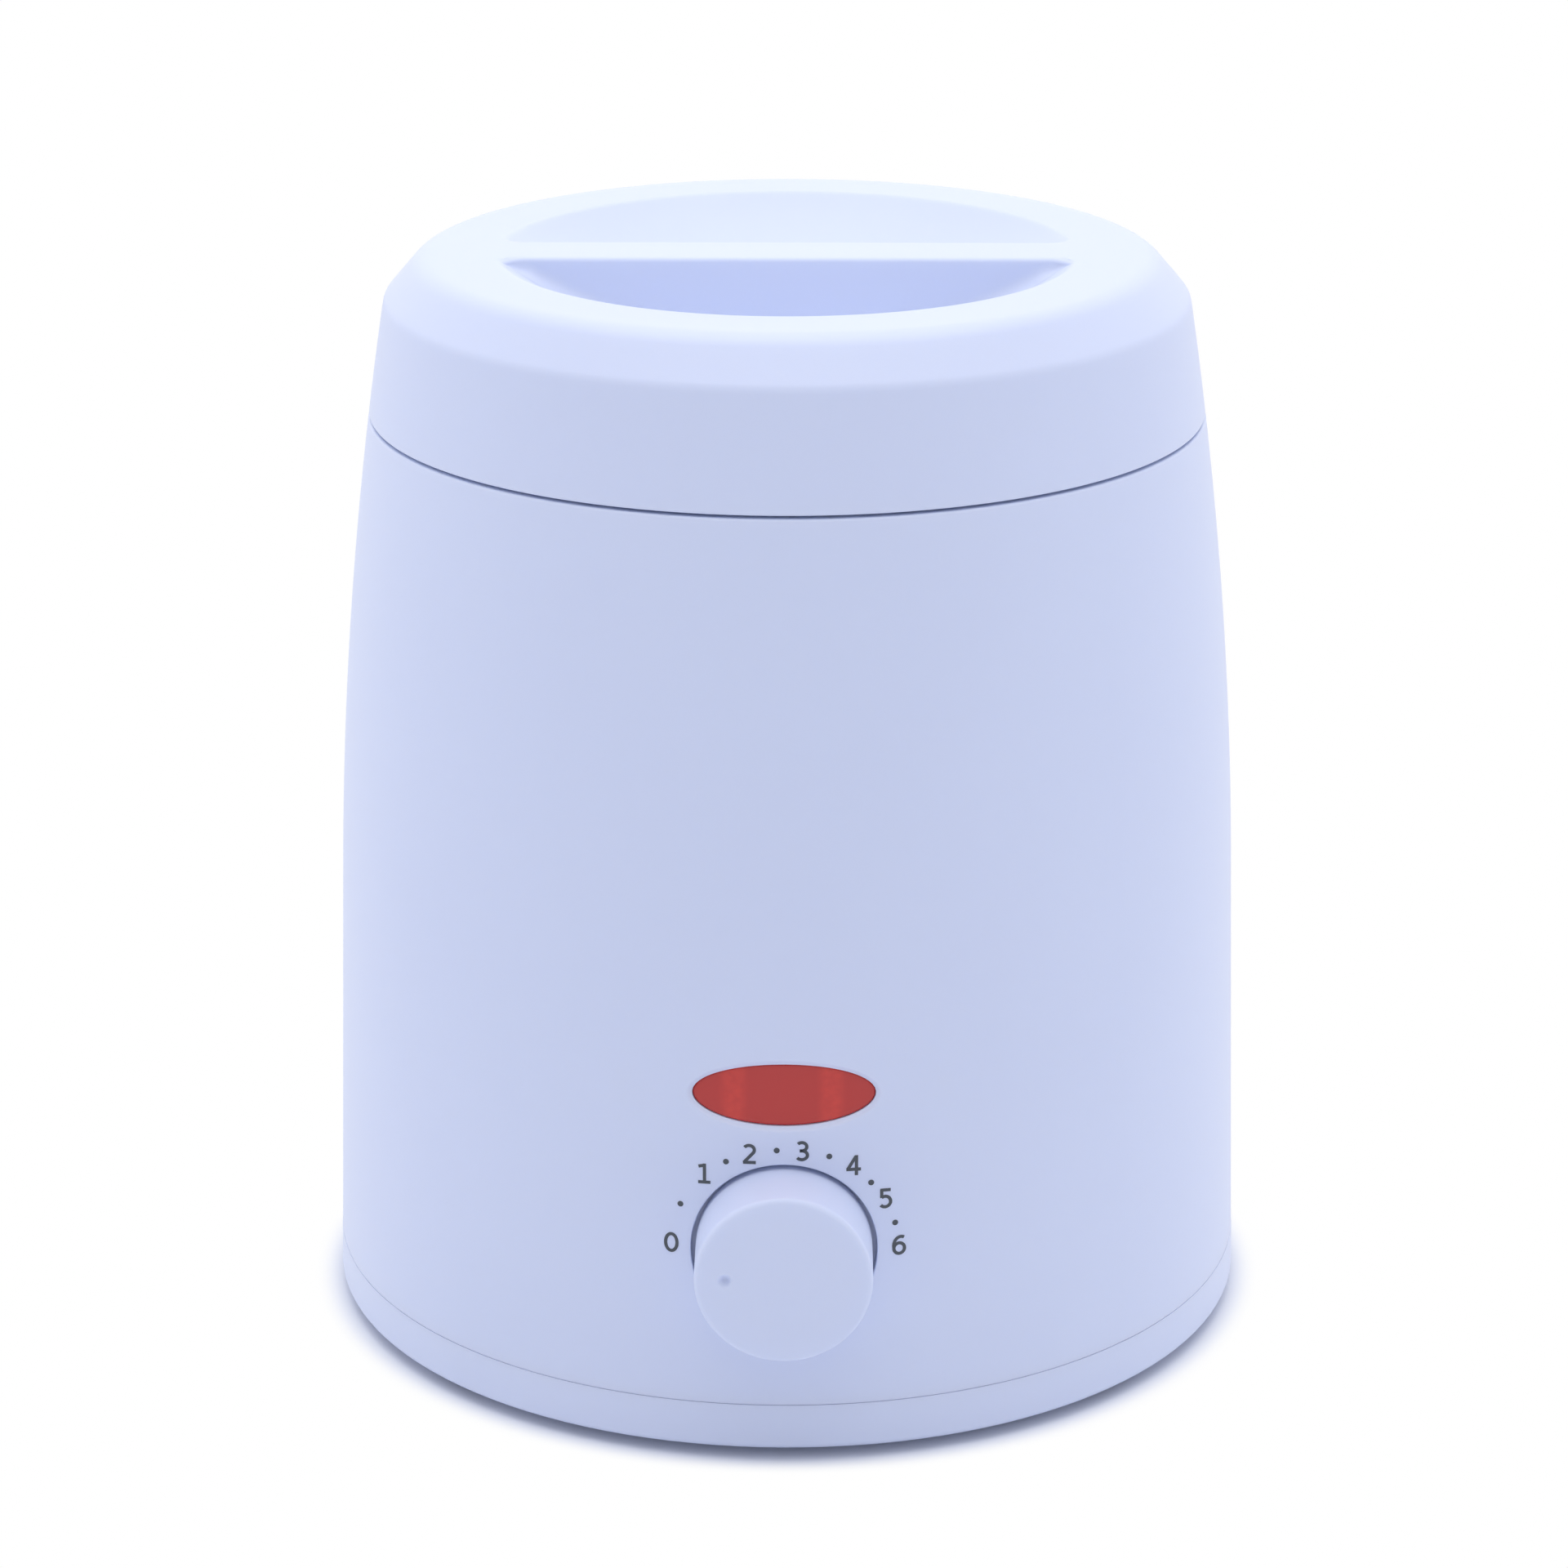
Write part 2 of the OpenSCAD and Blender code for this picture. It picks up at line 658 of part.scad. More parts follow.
module well_screws() {
    color("silver") on_flange() translate([0, 0, flange_top - well_screw_len])
        pan_screw(well_screw_d, well_screw_len, well_head_d, well_head_h);
}

module heater_band() {
    color("tan") difference() {
        union() {
            difference() {
                translate([0, 0, band_z]) ring(band_out_r, band_r, band_h);
                translate([-band_split / 2, 0, band_z - past])
                    cube([band_split, base_d, band_h + 2 * past]);
            }
            for (side = [0, 1]) mirror([side, 0, 0])
                translate([band_split / 2, lug_y, band_z]) cube([lug_t, lug_out, band_h]);
        }
        translate([-band_split, clamp_y, clamp_z]) rotate([0, 90, 0])
            cylinder(d = clamp_d + screw_gap, h = 2 * band_split);
    }
}

module clamp_screw() {
    far = band_split / 2 + lug_t;
    reach = 2 * far + clamp_nut_h + 1;
    color("silver") translate([far, clamp_y, clamp_z]) rotate([0, 90, 0]) {
        cylinder(d = clamp_head_d, h = clamp_head_h);
        translate([0, 0, -reach]) cylinder(d = clamp_d, h = reach + clamp_head_h / 2);
    }
}

module clamp_nut() {
    near = -band_split / 2 - lug_t - clamp_nut_h;
    color("silver") translate([near, clamp_y, clamp_z]) rotate([0, 90, 0]) difference() {
        cylinder(d = clamp_nut_d, h = clamp_nut_h, $fn = 6);
        translate([0, 0, -past]) cylinder(d = clamp_d + 2 * thread_gap, h = clamp_nut_h + 2 * past);
    }
}

module insulation_wrap() {
    color("wheat") difference() {
        translate([0, 0, wrap_z]) ring(wrap_out_r, wrap_r, wrap_h);
        translate([-wrap_split / 2, 0, wrap_z - past]) cube([wrap_split, base_d, wrap_h + 2 * past]);
    }
}

module insulation_ties() {
    color("silver") for (z = [wrap_z + tie_inset, wrap_z + wrap_h - tie_inset - tie_h])
        translate([0, 0, z]) ring(wrap_out_r + 0.1 + tie_t, wrap_out_r + 0.1, tie_h);
}

module heat_shield() {
    color("lightsteelblue") difference() {
        translate([0, 0, shield_z]) {
            ring(shield_r, shield_r - shield_t, shield_h);
            ring(shield_r - shield_t / 2, stud_r + 0.1, shield_t);
        }
        translate([capillary_hole.x, capillary_hole.y, shield_z - past])
            cylinder(r = capillary_hole_r, h = shield_t + 2 * past);
    }
}

module stud_spacer() {
    color("silver") translate([0, 0, clip_top]) ring(spacer_r, stud_r + 0.1, well_z - clip_top);
}

module stud_nut() {
    color("silver") translate([0, 0, tag_z - stud_nut_h]) difference() {
        cylinder(d = stud_nut_d, h = stud_nut_h, $fn = 6);
        translate([0, 0, -past]) cylinder(r = stud_r + thread_gap, h = stud_nut_h + 2 * past);
    }
}

module sensor_clip() {
    color("silver") difference() {
        union() {
            translate([-clip_w / 2, -clip_reach, clip_z]) cube([clip_w, 2 * clip_reach, clip_t]);
            for (side = [-1, 1])
                translate([-clip_w / 2, side * (clip_reach - clip_t / 2) - clip_t / 2, clip_z])
                    cube([clip_w, clip_t, well_z - seat_gap - clip_z]);
        }
        translate([0, 0, clip_z - past]) cylinder(r = stud_r + 0.1, h = clip_t + 2 * past);
    }
}

module sensor_bulb() {
    color("chocolate") translate([-bulb_len / 2, -bulb_y, bulb_z]) rotate([0, 90, 0])
        cylinder(r = bulb_r, h = bulb_len);
}

module thermal_fuse() {
    color("ivory") translate([-fuse_len / 2, bulb_y, bulb_z]) rotate([0, 90, 0])
        cylinder(r = bulb_r, h = fuse_len);
}

module capillary_tube() {
    start = [thermostat_w / 3, thermostat_back + 0.2, knob_z + thermostat_h / 4];
    under = [capillary_hole.x, capillary_hole.y, shield_z];
    end = [bulb_len / 2 + 0.1, -bulb_y, bulb_z];
    color("chocolate") lead([
        start, start + [1, 5.5, 2], between(start, under, 0.4) + [0, 0, -1],
        between(start, under, 0.75) + [2, 0, -3], under - [0, 0, 8], under + [0, 0, 1],
        end + [8, -0.6, -0.6], end + [4, 0, 0], end], capillary_r);
}

module thermostat_body() {
    color("dimgray") difference() {
        union() {
            translate([-thermostat_w / 2, thermostat_y, knob_z - thermostat_h / 2])
                cube([thermostat_w, thermostat_t, thermostat_h]);
            facing_back(0, bush_end_y, knob_z) cylinder(r = bush_r, h = thermostat_y - bush_end_y + past);
        }
        facing_back(0, bush_end_y - past, knob_z)
            cylinder(r = shaft_r + shaft_clear, h = thermostat_y - bush_end_y + shaft_seat + past);
        for (side = [-1, 1]) facing_back(side * csk_x, thermostat_y - past, knob_z)
            cylinder(d = csk_d + screw_gap, h = csk_len);
    }
}

module thermostat_bracket() {
    color("silver") difference() {
        translate([-thermostat_w / 2, bracket_y, knob_z - thermostat_h / 2])
            cube([thermostat_w, bracket_t, thermostat_h]);
        facing_back(0, bracket_y - past, knob_z) cylinder(r = bush_r + screw_gap, h = bracket_t + 2 * past);
        for (side = [-1, 1]) facing_back(side * csk_x, bracket_y - past, knob_z)
            cylinder(d = csk_d + 2 * thread_gap, h = bracket_t + 2 * past);
    }
}

module thermostat_tabs() {
    color("gold") for (side = [-1, 1])
        translate([side * tab_x - tab_w / 2, thermostat_back, tab_z - tab_t / 2])
            cube([tab_w, tab_len, tab_t]);
}

module thermostat_screws() {
    color("silver") for (side = [-1, 1]) facing_back(side * csk_x, pocket_y, knob_z) {
        cylinder(r1 = csk_head_d / 2, r2 = csk_d / 2, h = csk_head_h);
        cylinder(d = csk_d, h = csk_len);
    }
}

module thermostat_shaft() {
    tip_y = knob_face_y + knob_wall + 0.3;
    end_y = thermostat_y + shaft_seat - 0.3;
    color("silver") difference() {
        facing_back(0, tip_y, knob_z) cylinder(r = shaft_r, h = end_y - tip_y);
        translate([shaft_r - shaft_flat, tip_y - past, knob_z - shaft_r])
            cube([shaft_r, knob_back_y - tip_y - 1 + past, 2 * shaft_r]);
    }
}

module knob() {
    len = knob_back_y - knob_face_y;
    color("lavender") difference() {
        facing_back(0, knob_face_y, knob_z) difference() {
            rotate_extrude()
                polygon(rounded([[0, 0, 0], [knob_r, 0, knob_edge_r], [knob_r, len, 0.3], [0, len, 0]]));
            translate([0, 0, knob_wall]) ring(knob_r - knob_wall, knob_boss_r, len);
            translate([-dimple_pitch, 0, -dimple_r + dimple_depth]) sphere(r = dimple_r, $fn = 32);
        }
        difference() {
            facing_back(0, knob_face_y + knob_wall, knob_z) cylinder(r = shaft_r + shaft_clear, h = len);
            translate([shaft_r - shaft_flat + shaft_clear, knob_face_y, knob_z - knob_boss_r])
                cube([knob_boss_r, len - 1, 2 * knob_boss_r]);
        }
    }
}

module indicator_lens() {
    plug_w = lens_w - 2 * lens_gap;
    plug_h = lens_h - 2 * lens_gap;
    skin = housing_wall + 0.1;
    z0 = lens_z - lens_h;
    z1 = lens_z + lens_h;
    color("firebrick") difference() {
        union() {
            intersection() {
                at_window() linear_extrude(height = base_d) polygon(ellipse(plug_w, plug_h));
                body_solid(z0, z1, lens_inset);
            }
            intersection() {
                at_window() linear_extrude(height = base_d)
                    polygon(ellipse(lens_w + 2 * lens_flange, lens_h + 2 * lens_flange));
                body_solid(z0, z1, skin);
            }
        }
        body_solid(z0 - past, z1 + past, skin + lens_t);
        intersection() {
            at_window() linear_extrude(height = base_d)
                polygon(ellipse(plug_w - 2 * lens_t, plug_h - 2 * lens_t));
            body_solid(z0, z1, lens_inset + lens_t);
        }
    }
}

module lamp_bracket() {
    cradle_w = lamp_len - 2;
    color("white") difference() {
        union() {
            translate([-lamp_bracket_w / 2, lamp_post_y, lens_z - lamp_bracket_h / 2])
                cube([lamp_bracket_w, lamp_bracket_t, lamp_bracket_h]);
            translate([-cradle_w / 2, lamp_y + 0.4, lens_z - lamp_d / 2 - 1.2])
                cube([cradle_w, lamp_post_y - lamp_y, lamp_d + 2.4]);
        }
        translate([-lamp_len, lamp_y, lens_z]) rotate([0, 90, 0])
            cylinder(r = lamp_d / 2 + 0.1, h = 2 * lamp_len);
        for (side = [-1, 1]) facing_back(side * lamp_post_x, lamp_post_y - past, lens_z)
            cylinder(d = lamp_screw_d + screw_gap, h = lamp_bracket_t + 2 * past);
    }
}

module lamp_screws() {
    color("silver") for (side = [-1, 1])
        facing_back(side * lamp_post_x, lamp_post_y + lamp_bracket_t - lamp_screw_len, lens_z)
            pan_screw(lamp_screw_d, lamp_screw_len, lamp_head_d, lamp_head_h);
}

module neon_lamp() {
    color("mistyrose") translate([-lamp_len / 2, lamp_y, lens_z]) rotate([0, 90, 0]) rotate_extrude()
        polygon(rounded([[0, 0, 0], [lamp_d / 2, 0, 1.8], [lamp_d / 2, lamp_len, 0.4], [0, lamp_len, 0]]));
}

module lamp_resistor() {
    color("burlywood") translate([-resistor_len / 2, lamp_post_y + lamp_bracket_t + resistor_r, lens_z + 2])
        rotate([0, 90, 0]) cylinder(r = resistor_r, h = resistor_len);
}

module terminal_block() {
    color("ivory") difference() {
        translate([-block_w / 2, block_y - block_l / 2, block_z]) cube([block_w, block_l, block_h]);
        for (x = way_x) for (side = [-1, 1]) translate([x, block_y + side * way_y, block_top - way_depth])
            cylinder(r = way_r + 0.2, h = way_depth + past);
        translate([0, block_y, block_z - past]) cylinder(d = block_screw_d + 0.2, h = block_h + 2 * past);
        translate([0, block_y, block_seat_z]) cylinder(d = block_head_d + 0.4, h = block_seat + past);
    }
}

module terminal_screws() {
    slot_w = way_r * 0.3;
    slot_z = way_screw_h * 0.7;
    color("gold") for (x = way_x) for (side = [-1, 1])
        translate([x, block_y + side * way_y, block_top - way_depth]) difference() {
            cylinder(r = way_r, h = way_screw_h);
            translate([-way_r * 0.8, -slot_w / 2, slot_z]) cube([way_r * 1.6, slot_w, way_screw_h]);
        }
}

module block_screw() {
    reach = block_seat_z - cover_top + 0.6;
    color("silver") translate([0, block_y, block_seat_z - reach])
        pan_screw(block_screw_d, reach, block_head_d, block_head_h);
}

module earth_tag() {
    color("gold") translate([0, 0, tag_z]) difference() {
        union() {
            cylinder(r = stud_r + 2, h = tag_t);
            translate([0, -1.6, 0]) cube([tag_len, 3.2, tag_t]);
        }
        translate([0, 0, -past]) cylinder(r = stud_r + 0.1, h = tag_t + 2 * past);
    }
}

module cord_gland() {
    color("whitesmoke") difference() {
        union() {
            facing_back(0, gland_in_y, gland_z) cylinder(r = gland_r, h = gland_end_y - 1.5 - gland_in_y);
            facing_back(0, gland_pad_y, gland_z) rotate([0, 0, 30])
                cylinder(d = gland_hex_d, h = gland_hex_t, $fn = 6);
        }
        facing_back(0, gland_in_y - past, gland_z)
            cylinder(d = gland_bore_d, h = gland_end_y - gland_in_y + 2 * past);
    }
}

module gland_dome_nut() {
    start = gland_pad_y + gland_hex_t;
    len = gland_end_y - start;
    color("whitesmoke") facing_back(0, start, gland_z) difference() {
        rotate_extrude() polygon(rounded([
            [0, 0, 0], [gland_nut_d / 2, 0, 0], [gland_nut_d / 2, len, 1.8], [0, len, 0]]));
        translate([0, 0, -past]) cylinder(r = gland_r + thread_gap, h = len - 1.5 + past);
        translate([0, 0, -past]) cylinder(d = gland_bore_d, h = len + 2 * past);
    }
}

module gland_lock_nut() {
    color("whitesmoke") facing_back(0, gland_seat_y - gland_nut_t, gland_z) difference() {
        cylinder(d = gland_hex_d, h = gland_nut_t, $fn = 6);
        translate([0, 0, -past]) cylinder(r = gland_r + thread_gap, h = gland_nut_t + 2 * past);
    }
}

module heater_leads() {
    start = [way_x[3], block_y + way_y, block_top + 0.2];
    end = [band_split / 2 + lug_t + lead_r + 0.1, lug_y + lug_out / 2, band_z + band_h / 4];
    color("white") for (side = [0, 1]) mirror([side, 0, 0]) lead([
        start, start + [2, 3, 7], lead_point(start, end, 0.3, [3, 5]), lead_point(start, end, 0.5, [2, 7]),
        lead_point(start, end, 0.7, [2, 8]), lead_point(start, end, 0.85, [2, 6]),
        end - [0, 0, 6], end], lead_r);
}

module thermostat_leads() {
    start = [tab_x, thermostat_back + tab_len, tab_z];
    end = [way_x[2], block_y - way_y, block_top + 0.2];
    color("black") for (side = [0, 1]) mirror([side, 0, 0]) lead([
        start, start + [0, 6, 0], between(start, end, 0.35), between(start, end, 0.65) + [1, 0, 1],
        end + [1, -9, 6], end + [0, -1, 4], end], lead_r);
}

module lamp_leads() {
    start = [resistor_len / 2 + 0.2, lamp_post_y + lamp_bracket_t + lead_r + 0.4, lens_z + 2];
    end = [way_x[3], block_y - way_y, block_top + 0.2];
    beside = thermostat_w / 2 + 6;
    color("white") for (side = [0, 1]) mirror([side, 0, 0]) lead([
        start, start + [6, 1.5, -2], [beside - 6, start.y + 9, start.z - 7],
        [beside, start.y + 21, start.z - 14],
        [beside + 1, between(start, end, 0.55).y, between(start, end, 0.6).z],
        [beside - 3, between(start, end, 0.8).y, end.z + 7],
        end + [2, -5, 5], end + [0, -1, 3], end], lead_r);
}

module earth_lead() {
    start = [way_x[2], block_y + way_y, block_top + 0.2];
    end = [tag_len, 0, tag_z - lead_r];
    color("yellowgreen") lead([
        start, start + [1.5, 1.4, 7], between(start, end, 0.4) + [3, 10, 0],
        between(start, end, 0.65) + [6, 9, 0],
        between(start, end, 0.85) + [5, 3, -1], end + [2, 1, -2.2], end], lead_r);
}

housing_shell();
base_cover();
rubber_feet();
base_screws();
lid();
wax_pot();
pot_ears();
bail_handle();
top_deck();
heating_well();
well_gasket();
well_screws();
heater_band();
clamp_screw();
clamp_nut();
insulation_wrap();
insulation_ties();
heat_shield();
stud_spacer();
stud_nut();
sensor_clip();
sensor_bulb();
thermal_fuse();
capillary_tube();
thermostat_body();
thermostat_bracket();
thermostat_tabs();
thermostat_screws();
thermostat_shaft();
knob();
indicator_lens();
lamp_bracket();
lamp_screws();
neon_lamp();
lamp_resistor();
terminal_block();
terminal_screws();
block_screw();
earth_tag();
cord_gland();
gland_dome_nut();
gland_lock_nut();
heater_leads();
thermostat_leads();
lamp_leads();
earth_lead();
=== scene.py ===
import json
import math
import bmesh
import bpy
import numpy as np
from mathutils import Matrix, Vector


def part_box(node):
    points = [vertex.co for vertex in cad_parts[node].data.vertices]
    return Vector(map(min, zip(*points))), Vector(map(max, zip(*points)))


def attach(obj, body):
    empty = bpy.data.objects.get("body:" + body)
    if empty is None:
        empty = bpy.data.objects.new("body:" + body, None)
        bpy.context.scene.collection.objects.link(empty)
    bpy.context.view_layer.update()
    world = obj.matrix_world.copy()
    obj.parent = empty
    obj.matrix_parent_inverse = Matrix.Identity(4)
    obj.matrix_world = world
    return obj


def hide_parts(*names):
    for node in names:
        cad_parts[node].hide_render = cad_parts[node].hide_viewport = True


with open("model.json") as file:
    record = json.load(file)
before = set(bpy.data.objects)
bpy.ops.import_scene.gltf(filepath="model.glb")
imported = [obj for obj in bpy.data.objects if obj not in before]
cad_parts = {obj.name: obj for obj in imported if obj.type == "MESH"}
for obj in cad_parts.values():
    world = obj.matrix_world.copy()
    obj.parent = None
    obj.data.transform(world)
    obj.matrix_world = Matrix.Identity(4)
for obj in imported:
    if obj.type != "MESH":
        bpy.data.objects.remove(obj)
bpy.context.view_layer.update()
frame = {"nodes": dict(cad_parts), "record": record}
nodes = frame["nodes"]
mm = 0.001


def linear(hexCode):
    # sRGB hex to linear RGBA
    parts = [int(hexCode[i:i + 2], 16) / 255 for i in (1, 3, 5)]
    return [c / 12.92 if c <= 0.04045 else ((c + 0.055) / 1.055) ** 2.4 for c in parts] + [1.0]


def nodeBox(name):
    # lowest and highest corner of a node in millimetres
    low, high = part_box(name)
    return np.array(low) / mm, np.array(high) / mm


def setInputs(tree, node, **values):
    # each value is fixed, or an output to join; i0, i1 ... are inputs by number
    for name, value in values.items():
        byNumber = name[0] == "i" and name[1:].isdigit()
        socket = node.inputs[int(name[1:])] if byNumber else node.inputs[name.replace("_", " ")]
        if isinstance(value, bpy.types.NodeSocket):
            tree.links.new(value, socket)
        else:
            socket.default_value = value


def addNode(tree, kind, settings=None, **values):
    # one shader node: settings are its properties, values go to its inputs
    node = tree.nodes.new(kind)
    for name, value in (settings or {}).items():
        setattr(node, name, value)
    setInputs(tree, node, **values)
    return node


def maths(tree, operation, first, second=0.0):
    # result of a Math node
    return addNode(tree, "ShaderNodeMath", {"operation": operation}, i0=first, i1=second).outputs[0]


def smoothRange(tree, value, **limits):
    # result of a Map Range node that eases in and out
    return addNode(tree, "ShaderNodeMapRange", {"interpolation_type": "SMOOTHSTEP"}, Value=value,
                   **limits).outputs[0]


def newMaterial(name):
    # an empty material with its Principled shader joined to the output
    material = bpy.data.materials.new(name)
    material.use_nodes = True
    tree = material.node_tree
    tree.nodes.clear()
    shader = tree.nodes.new("ShaderNodeBsdfPrincipled")
    output = tree.nodes.new("ShaderNodeOutputMaterial")
    tree.links.new(shader.outputs["BSDF"], output.inputs["Surface"])
    return material, tree, shader


class Surface:
    # sheets of grid points in millimetres, welded into one mesh
    def __init__(self):
        self.points, self.quads, self.count = [], [], 0

    def sheet(self, p, around=False, keep=None):
        # p[row, column] is a point; around closes the columns; keep marks the quads that stay
        rows, cols = p.shape[:2]
        index = self.count + np.arange(rows * cols).reshape(rows, cols)
        right = np.roll(index, -1, axis=1) if around else index[:, 1:]
        left = index if around else index[:, :-1]
        quads = np.stack([left[:-1], right[:-1], right[1:], left[1:]], axis=-1)
        self.quads.append((quads if keep is None else quads[keep]).reshape(-1, 4))
        self.points.append(p.reshape(-1, 3))
        self.count += rows * cols

    def build(self, name, material, body, replaced=()):
        # points closer than 0.1 micrometre are one point, and a quad with a doubled corner is a triangle
        points = np.concatenate(self.points)
        _, first, same = np.unique(np.round(points, 4), axis=0, return_index=True, return_inverse=True)
        quads = same.reshape(-1)[np.concatenate(self.quads)]
        faces = [[a for a, b in zip(q, q[1:] + q[:1]) if a != b] for q in quads.tolist()]
        mesh = bpy.data.meshes.new(name)
        mesh.from_pydata(points[first] * mm, [], [f for f in faces if len(set(f)) > 2])
        mesh.validate()
        finishMesh(mesh)
        return place(name, mesh, material, body, replaced)


def finishMesh(mesh, merge=0.0, sharp=38):
    # loose points of no face go, faces turn outwards, and only edges sharper than the angle stay hard
    work = bmesh.new()
    work.from_mesh(mesh)
    if merge:
        bmesh.ops.remove_doubles(work, verts=work.verts, dist=merge)
    bmesh.ops.delete(work, geom=[v for v in work.verts if not v.link_faces], context="VERTS")
    bmesh.ops.recalc_face_normals(work, faces=work.faces)
    work.to_mesh(mesh)
    work.free()
    mesh.polygons.foreach_set("use_smooth", np.ones(len(mesh.polygons), bool))
    mesh.set_sharp_from_angle(angle=math.radians(sharp))


def place(name, mesh, material, body, replaced=()):
    # a finished mesh becomes a piece that rides on a body
    piece = bpy.data.objects.new(name, mesh)
    bpy.context.scene.collection.objects.link(piece)
    mesh.materials.clear()
    mesh.materials.append(material)
    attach(piece, body)
    if replaced:
        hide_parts(*replaced)
    print(name, len(mesh.polygons), "faces")
    return piece


def softOutline(corners, closed=True, steps=6):
    # (x, y, radius) corners to points: each corner becomes an arc, with a support point beside both its ends
    out = []
    count = len(corners)
    for i, (x, y, radius) in enumerate(corners):
        p = np.array([x, y], float)
        if radius == 0 or (not closed and i in (0, count - 1)):
            out.append(p)
            continue
        a = np.array(corners[(i - 1) % count][:2], float) - p
        b = np.array(corners[(i + 1) % count][:2], float) - p
        la, lb = np.linalg.norm(a), np.linalg.norm(b)
        u, v = a / la, b / lb
        half = math.acos(np.clip(u @ v, -1, 1)) / 2
        reach = radius / math.tan(half)
        centre = p + (u + v) / np.linalg.norm(u + v) * radius / math.sin(half)
        s, e = p + u * reach - centre, p + v * reach - centre
        turn = math.atan2(s[0] * e[1] - s[1] * e[0], s @ e)
        beside = min(0.5 * radius, 0.3 * (min(la, lb) - reach))
        out.append(p + u * (reach + beside))
        for q in np.linspace(0, turn, steps + 1):
            cosQ, sinQ = math.cos(q), math.sin(q)
            out.append(centre + [s[0] * cosQ - s[1] * sinQ, s[0] * sinQ + s[1] * cosQ])
        out.append(p + v * (reach + beside))
    return np.array(out)


def turned(profile, angles):
    # a profile of (radius, height) carried round the vertical axis; angle 0 is the front
    r, z = profile[:, 0:1], profile[:, 1:2]
    return np.stack([r * np.sin(angles), -r * np.cos(angles), z + 0 * angles], axis=-1)


def turnedBack(profile, angles, centre):
    # a profile of (radius, depth) carried round an axis along +Y through centre
    r, d = profile[:, 0:1], profile[:, 1:2]
    return np.stack([centre[0] + r * np.cos(angles), centre[1] + d + 0 * angles,
                     centre[2] + r * np.sin(angles)], axis=-1)


def fullTurn(count):
    return np.arange(count) * 2 * math.pi / count


def closed(profile):
    return np.concatenate([profile, profile[:1]])


def quarter(steps):
    # angles of a fillet's rows, without the first
    return np.linspace(0, math.pi / 2, steps + 1)[1:]


viewpoint = {
    "away": 602.0,       # mm in front of the axis
    "aside": -0.44,
    "height": 280.9,
    "turn": 0.4,         # degrees round the axis, towards +X
    "down": 19.05,       # degrees
    "lens": 103.125,
    "sensor": 36.0,
}


def makeCamera():
    camera = bpy.data.objects.new("camera", bpy.data.cameras.new("camera"))
    bpy.context.scene.collection.objects.link(camera)
    turn = math.radians(viewpoint["turn"])
    aside, away = viewpoint["aside"], viewpoint["away"]
    camera.location = Vector((aside * math.cos(turn) + away * math.sin(turn),
                              aside * math.sin(turn) - away * math.cos(turn), viewpoint["height"])) * mm
    camera.rotation_euler = (math.radians(90 - viewpoint["down"]), 0, turn)
    camera.data.lens = viewpoint["lens"]
    camera.data.sensor_width = viewpoint["sensor"]
    camera.data.clip_start = 0.01
    camera.data.clip_end = 50
    bpy.context.scene.camera = camera


makeCamera()
bpy.context.scene.view_settings.view_transform = "Standard"
print("camera in place")

stageLook = {
    "floorSize": 6.0,        # metres across
    "shadowReach": 5.0,      # mm that the contact shadow spreads
    "skyColour": "#f1f4ff",
    "skyStrength": 1.09,
    "frontStrength": 0.46,   # the studio is darker on the side that the front faces
    "fade": (-0.95, 0.1),    # directions in Y between which it brightens
    "topColour": "#f6f8ff",
    "topPower": 6.0,         # watts
    "topSize": 1.4,
    "topHeight": 1.3,
    "floorColour": "#eef0f6",
    "open": (0.5, 0.97),     # shares of open sky between which the floor turns white
}
plainWhite = (1, 1, 1, 1)


def seenRays(tree):
    # 1 for rays that should meet plain white: from the camera, in gloss and through glass
    path = addNode(tree, "ShaderNodeLightPath").outputs
    straight = maths(tree, "MAXIMUM", path["Is Camera Ray"], path["Is Transmission Ray"])
    return maths(tree, "MAXIMUM", straight, path["Is Glossy Ray"])


def makeWorld():
    # a white room whose light fades towards the side that the front faces
    world = bpy.data.worlds.new("studio")
    bpy.context.scene.world = world
    world.use_nodes = True
    tree = world.node_tree
    tree.nodes.clear()
    output = tree.nodes.new("ShaderNodeOutputWorld")
    coords = addNode(tree, "ShaderNodeTexCoord")
    parts = addNode(tree, "ShaderNodeSeparateXYZ", Vector=coords.outputs["Generated"])
    low, high = stageLook["fade"]
    fade = smoothRange(tree, parts.outputs["Y"], From_Min=low, From_Max=high,
                       To_Min=stageLook["frontStrength"], To_Max=stageLook["skyStrength"])
    light = addNode(tree, "ShaderNodeBackground", Color=linear(stageLook["skyColour"]), Strength=fade)
    white = addNode(tree, "ShaderNodeBackground", Color=plainWhite, Strength=1.0)
    mix = addNode(tree, "ShaderNodeMixShader", i0=seenRays(tree), i1=light.outputs[0],
                  i2=white.outputs[0])
    setInputs(tree, output, Surface=mix.outputs[0])


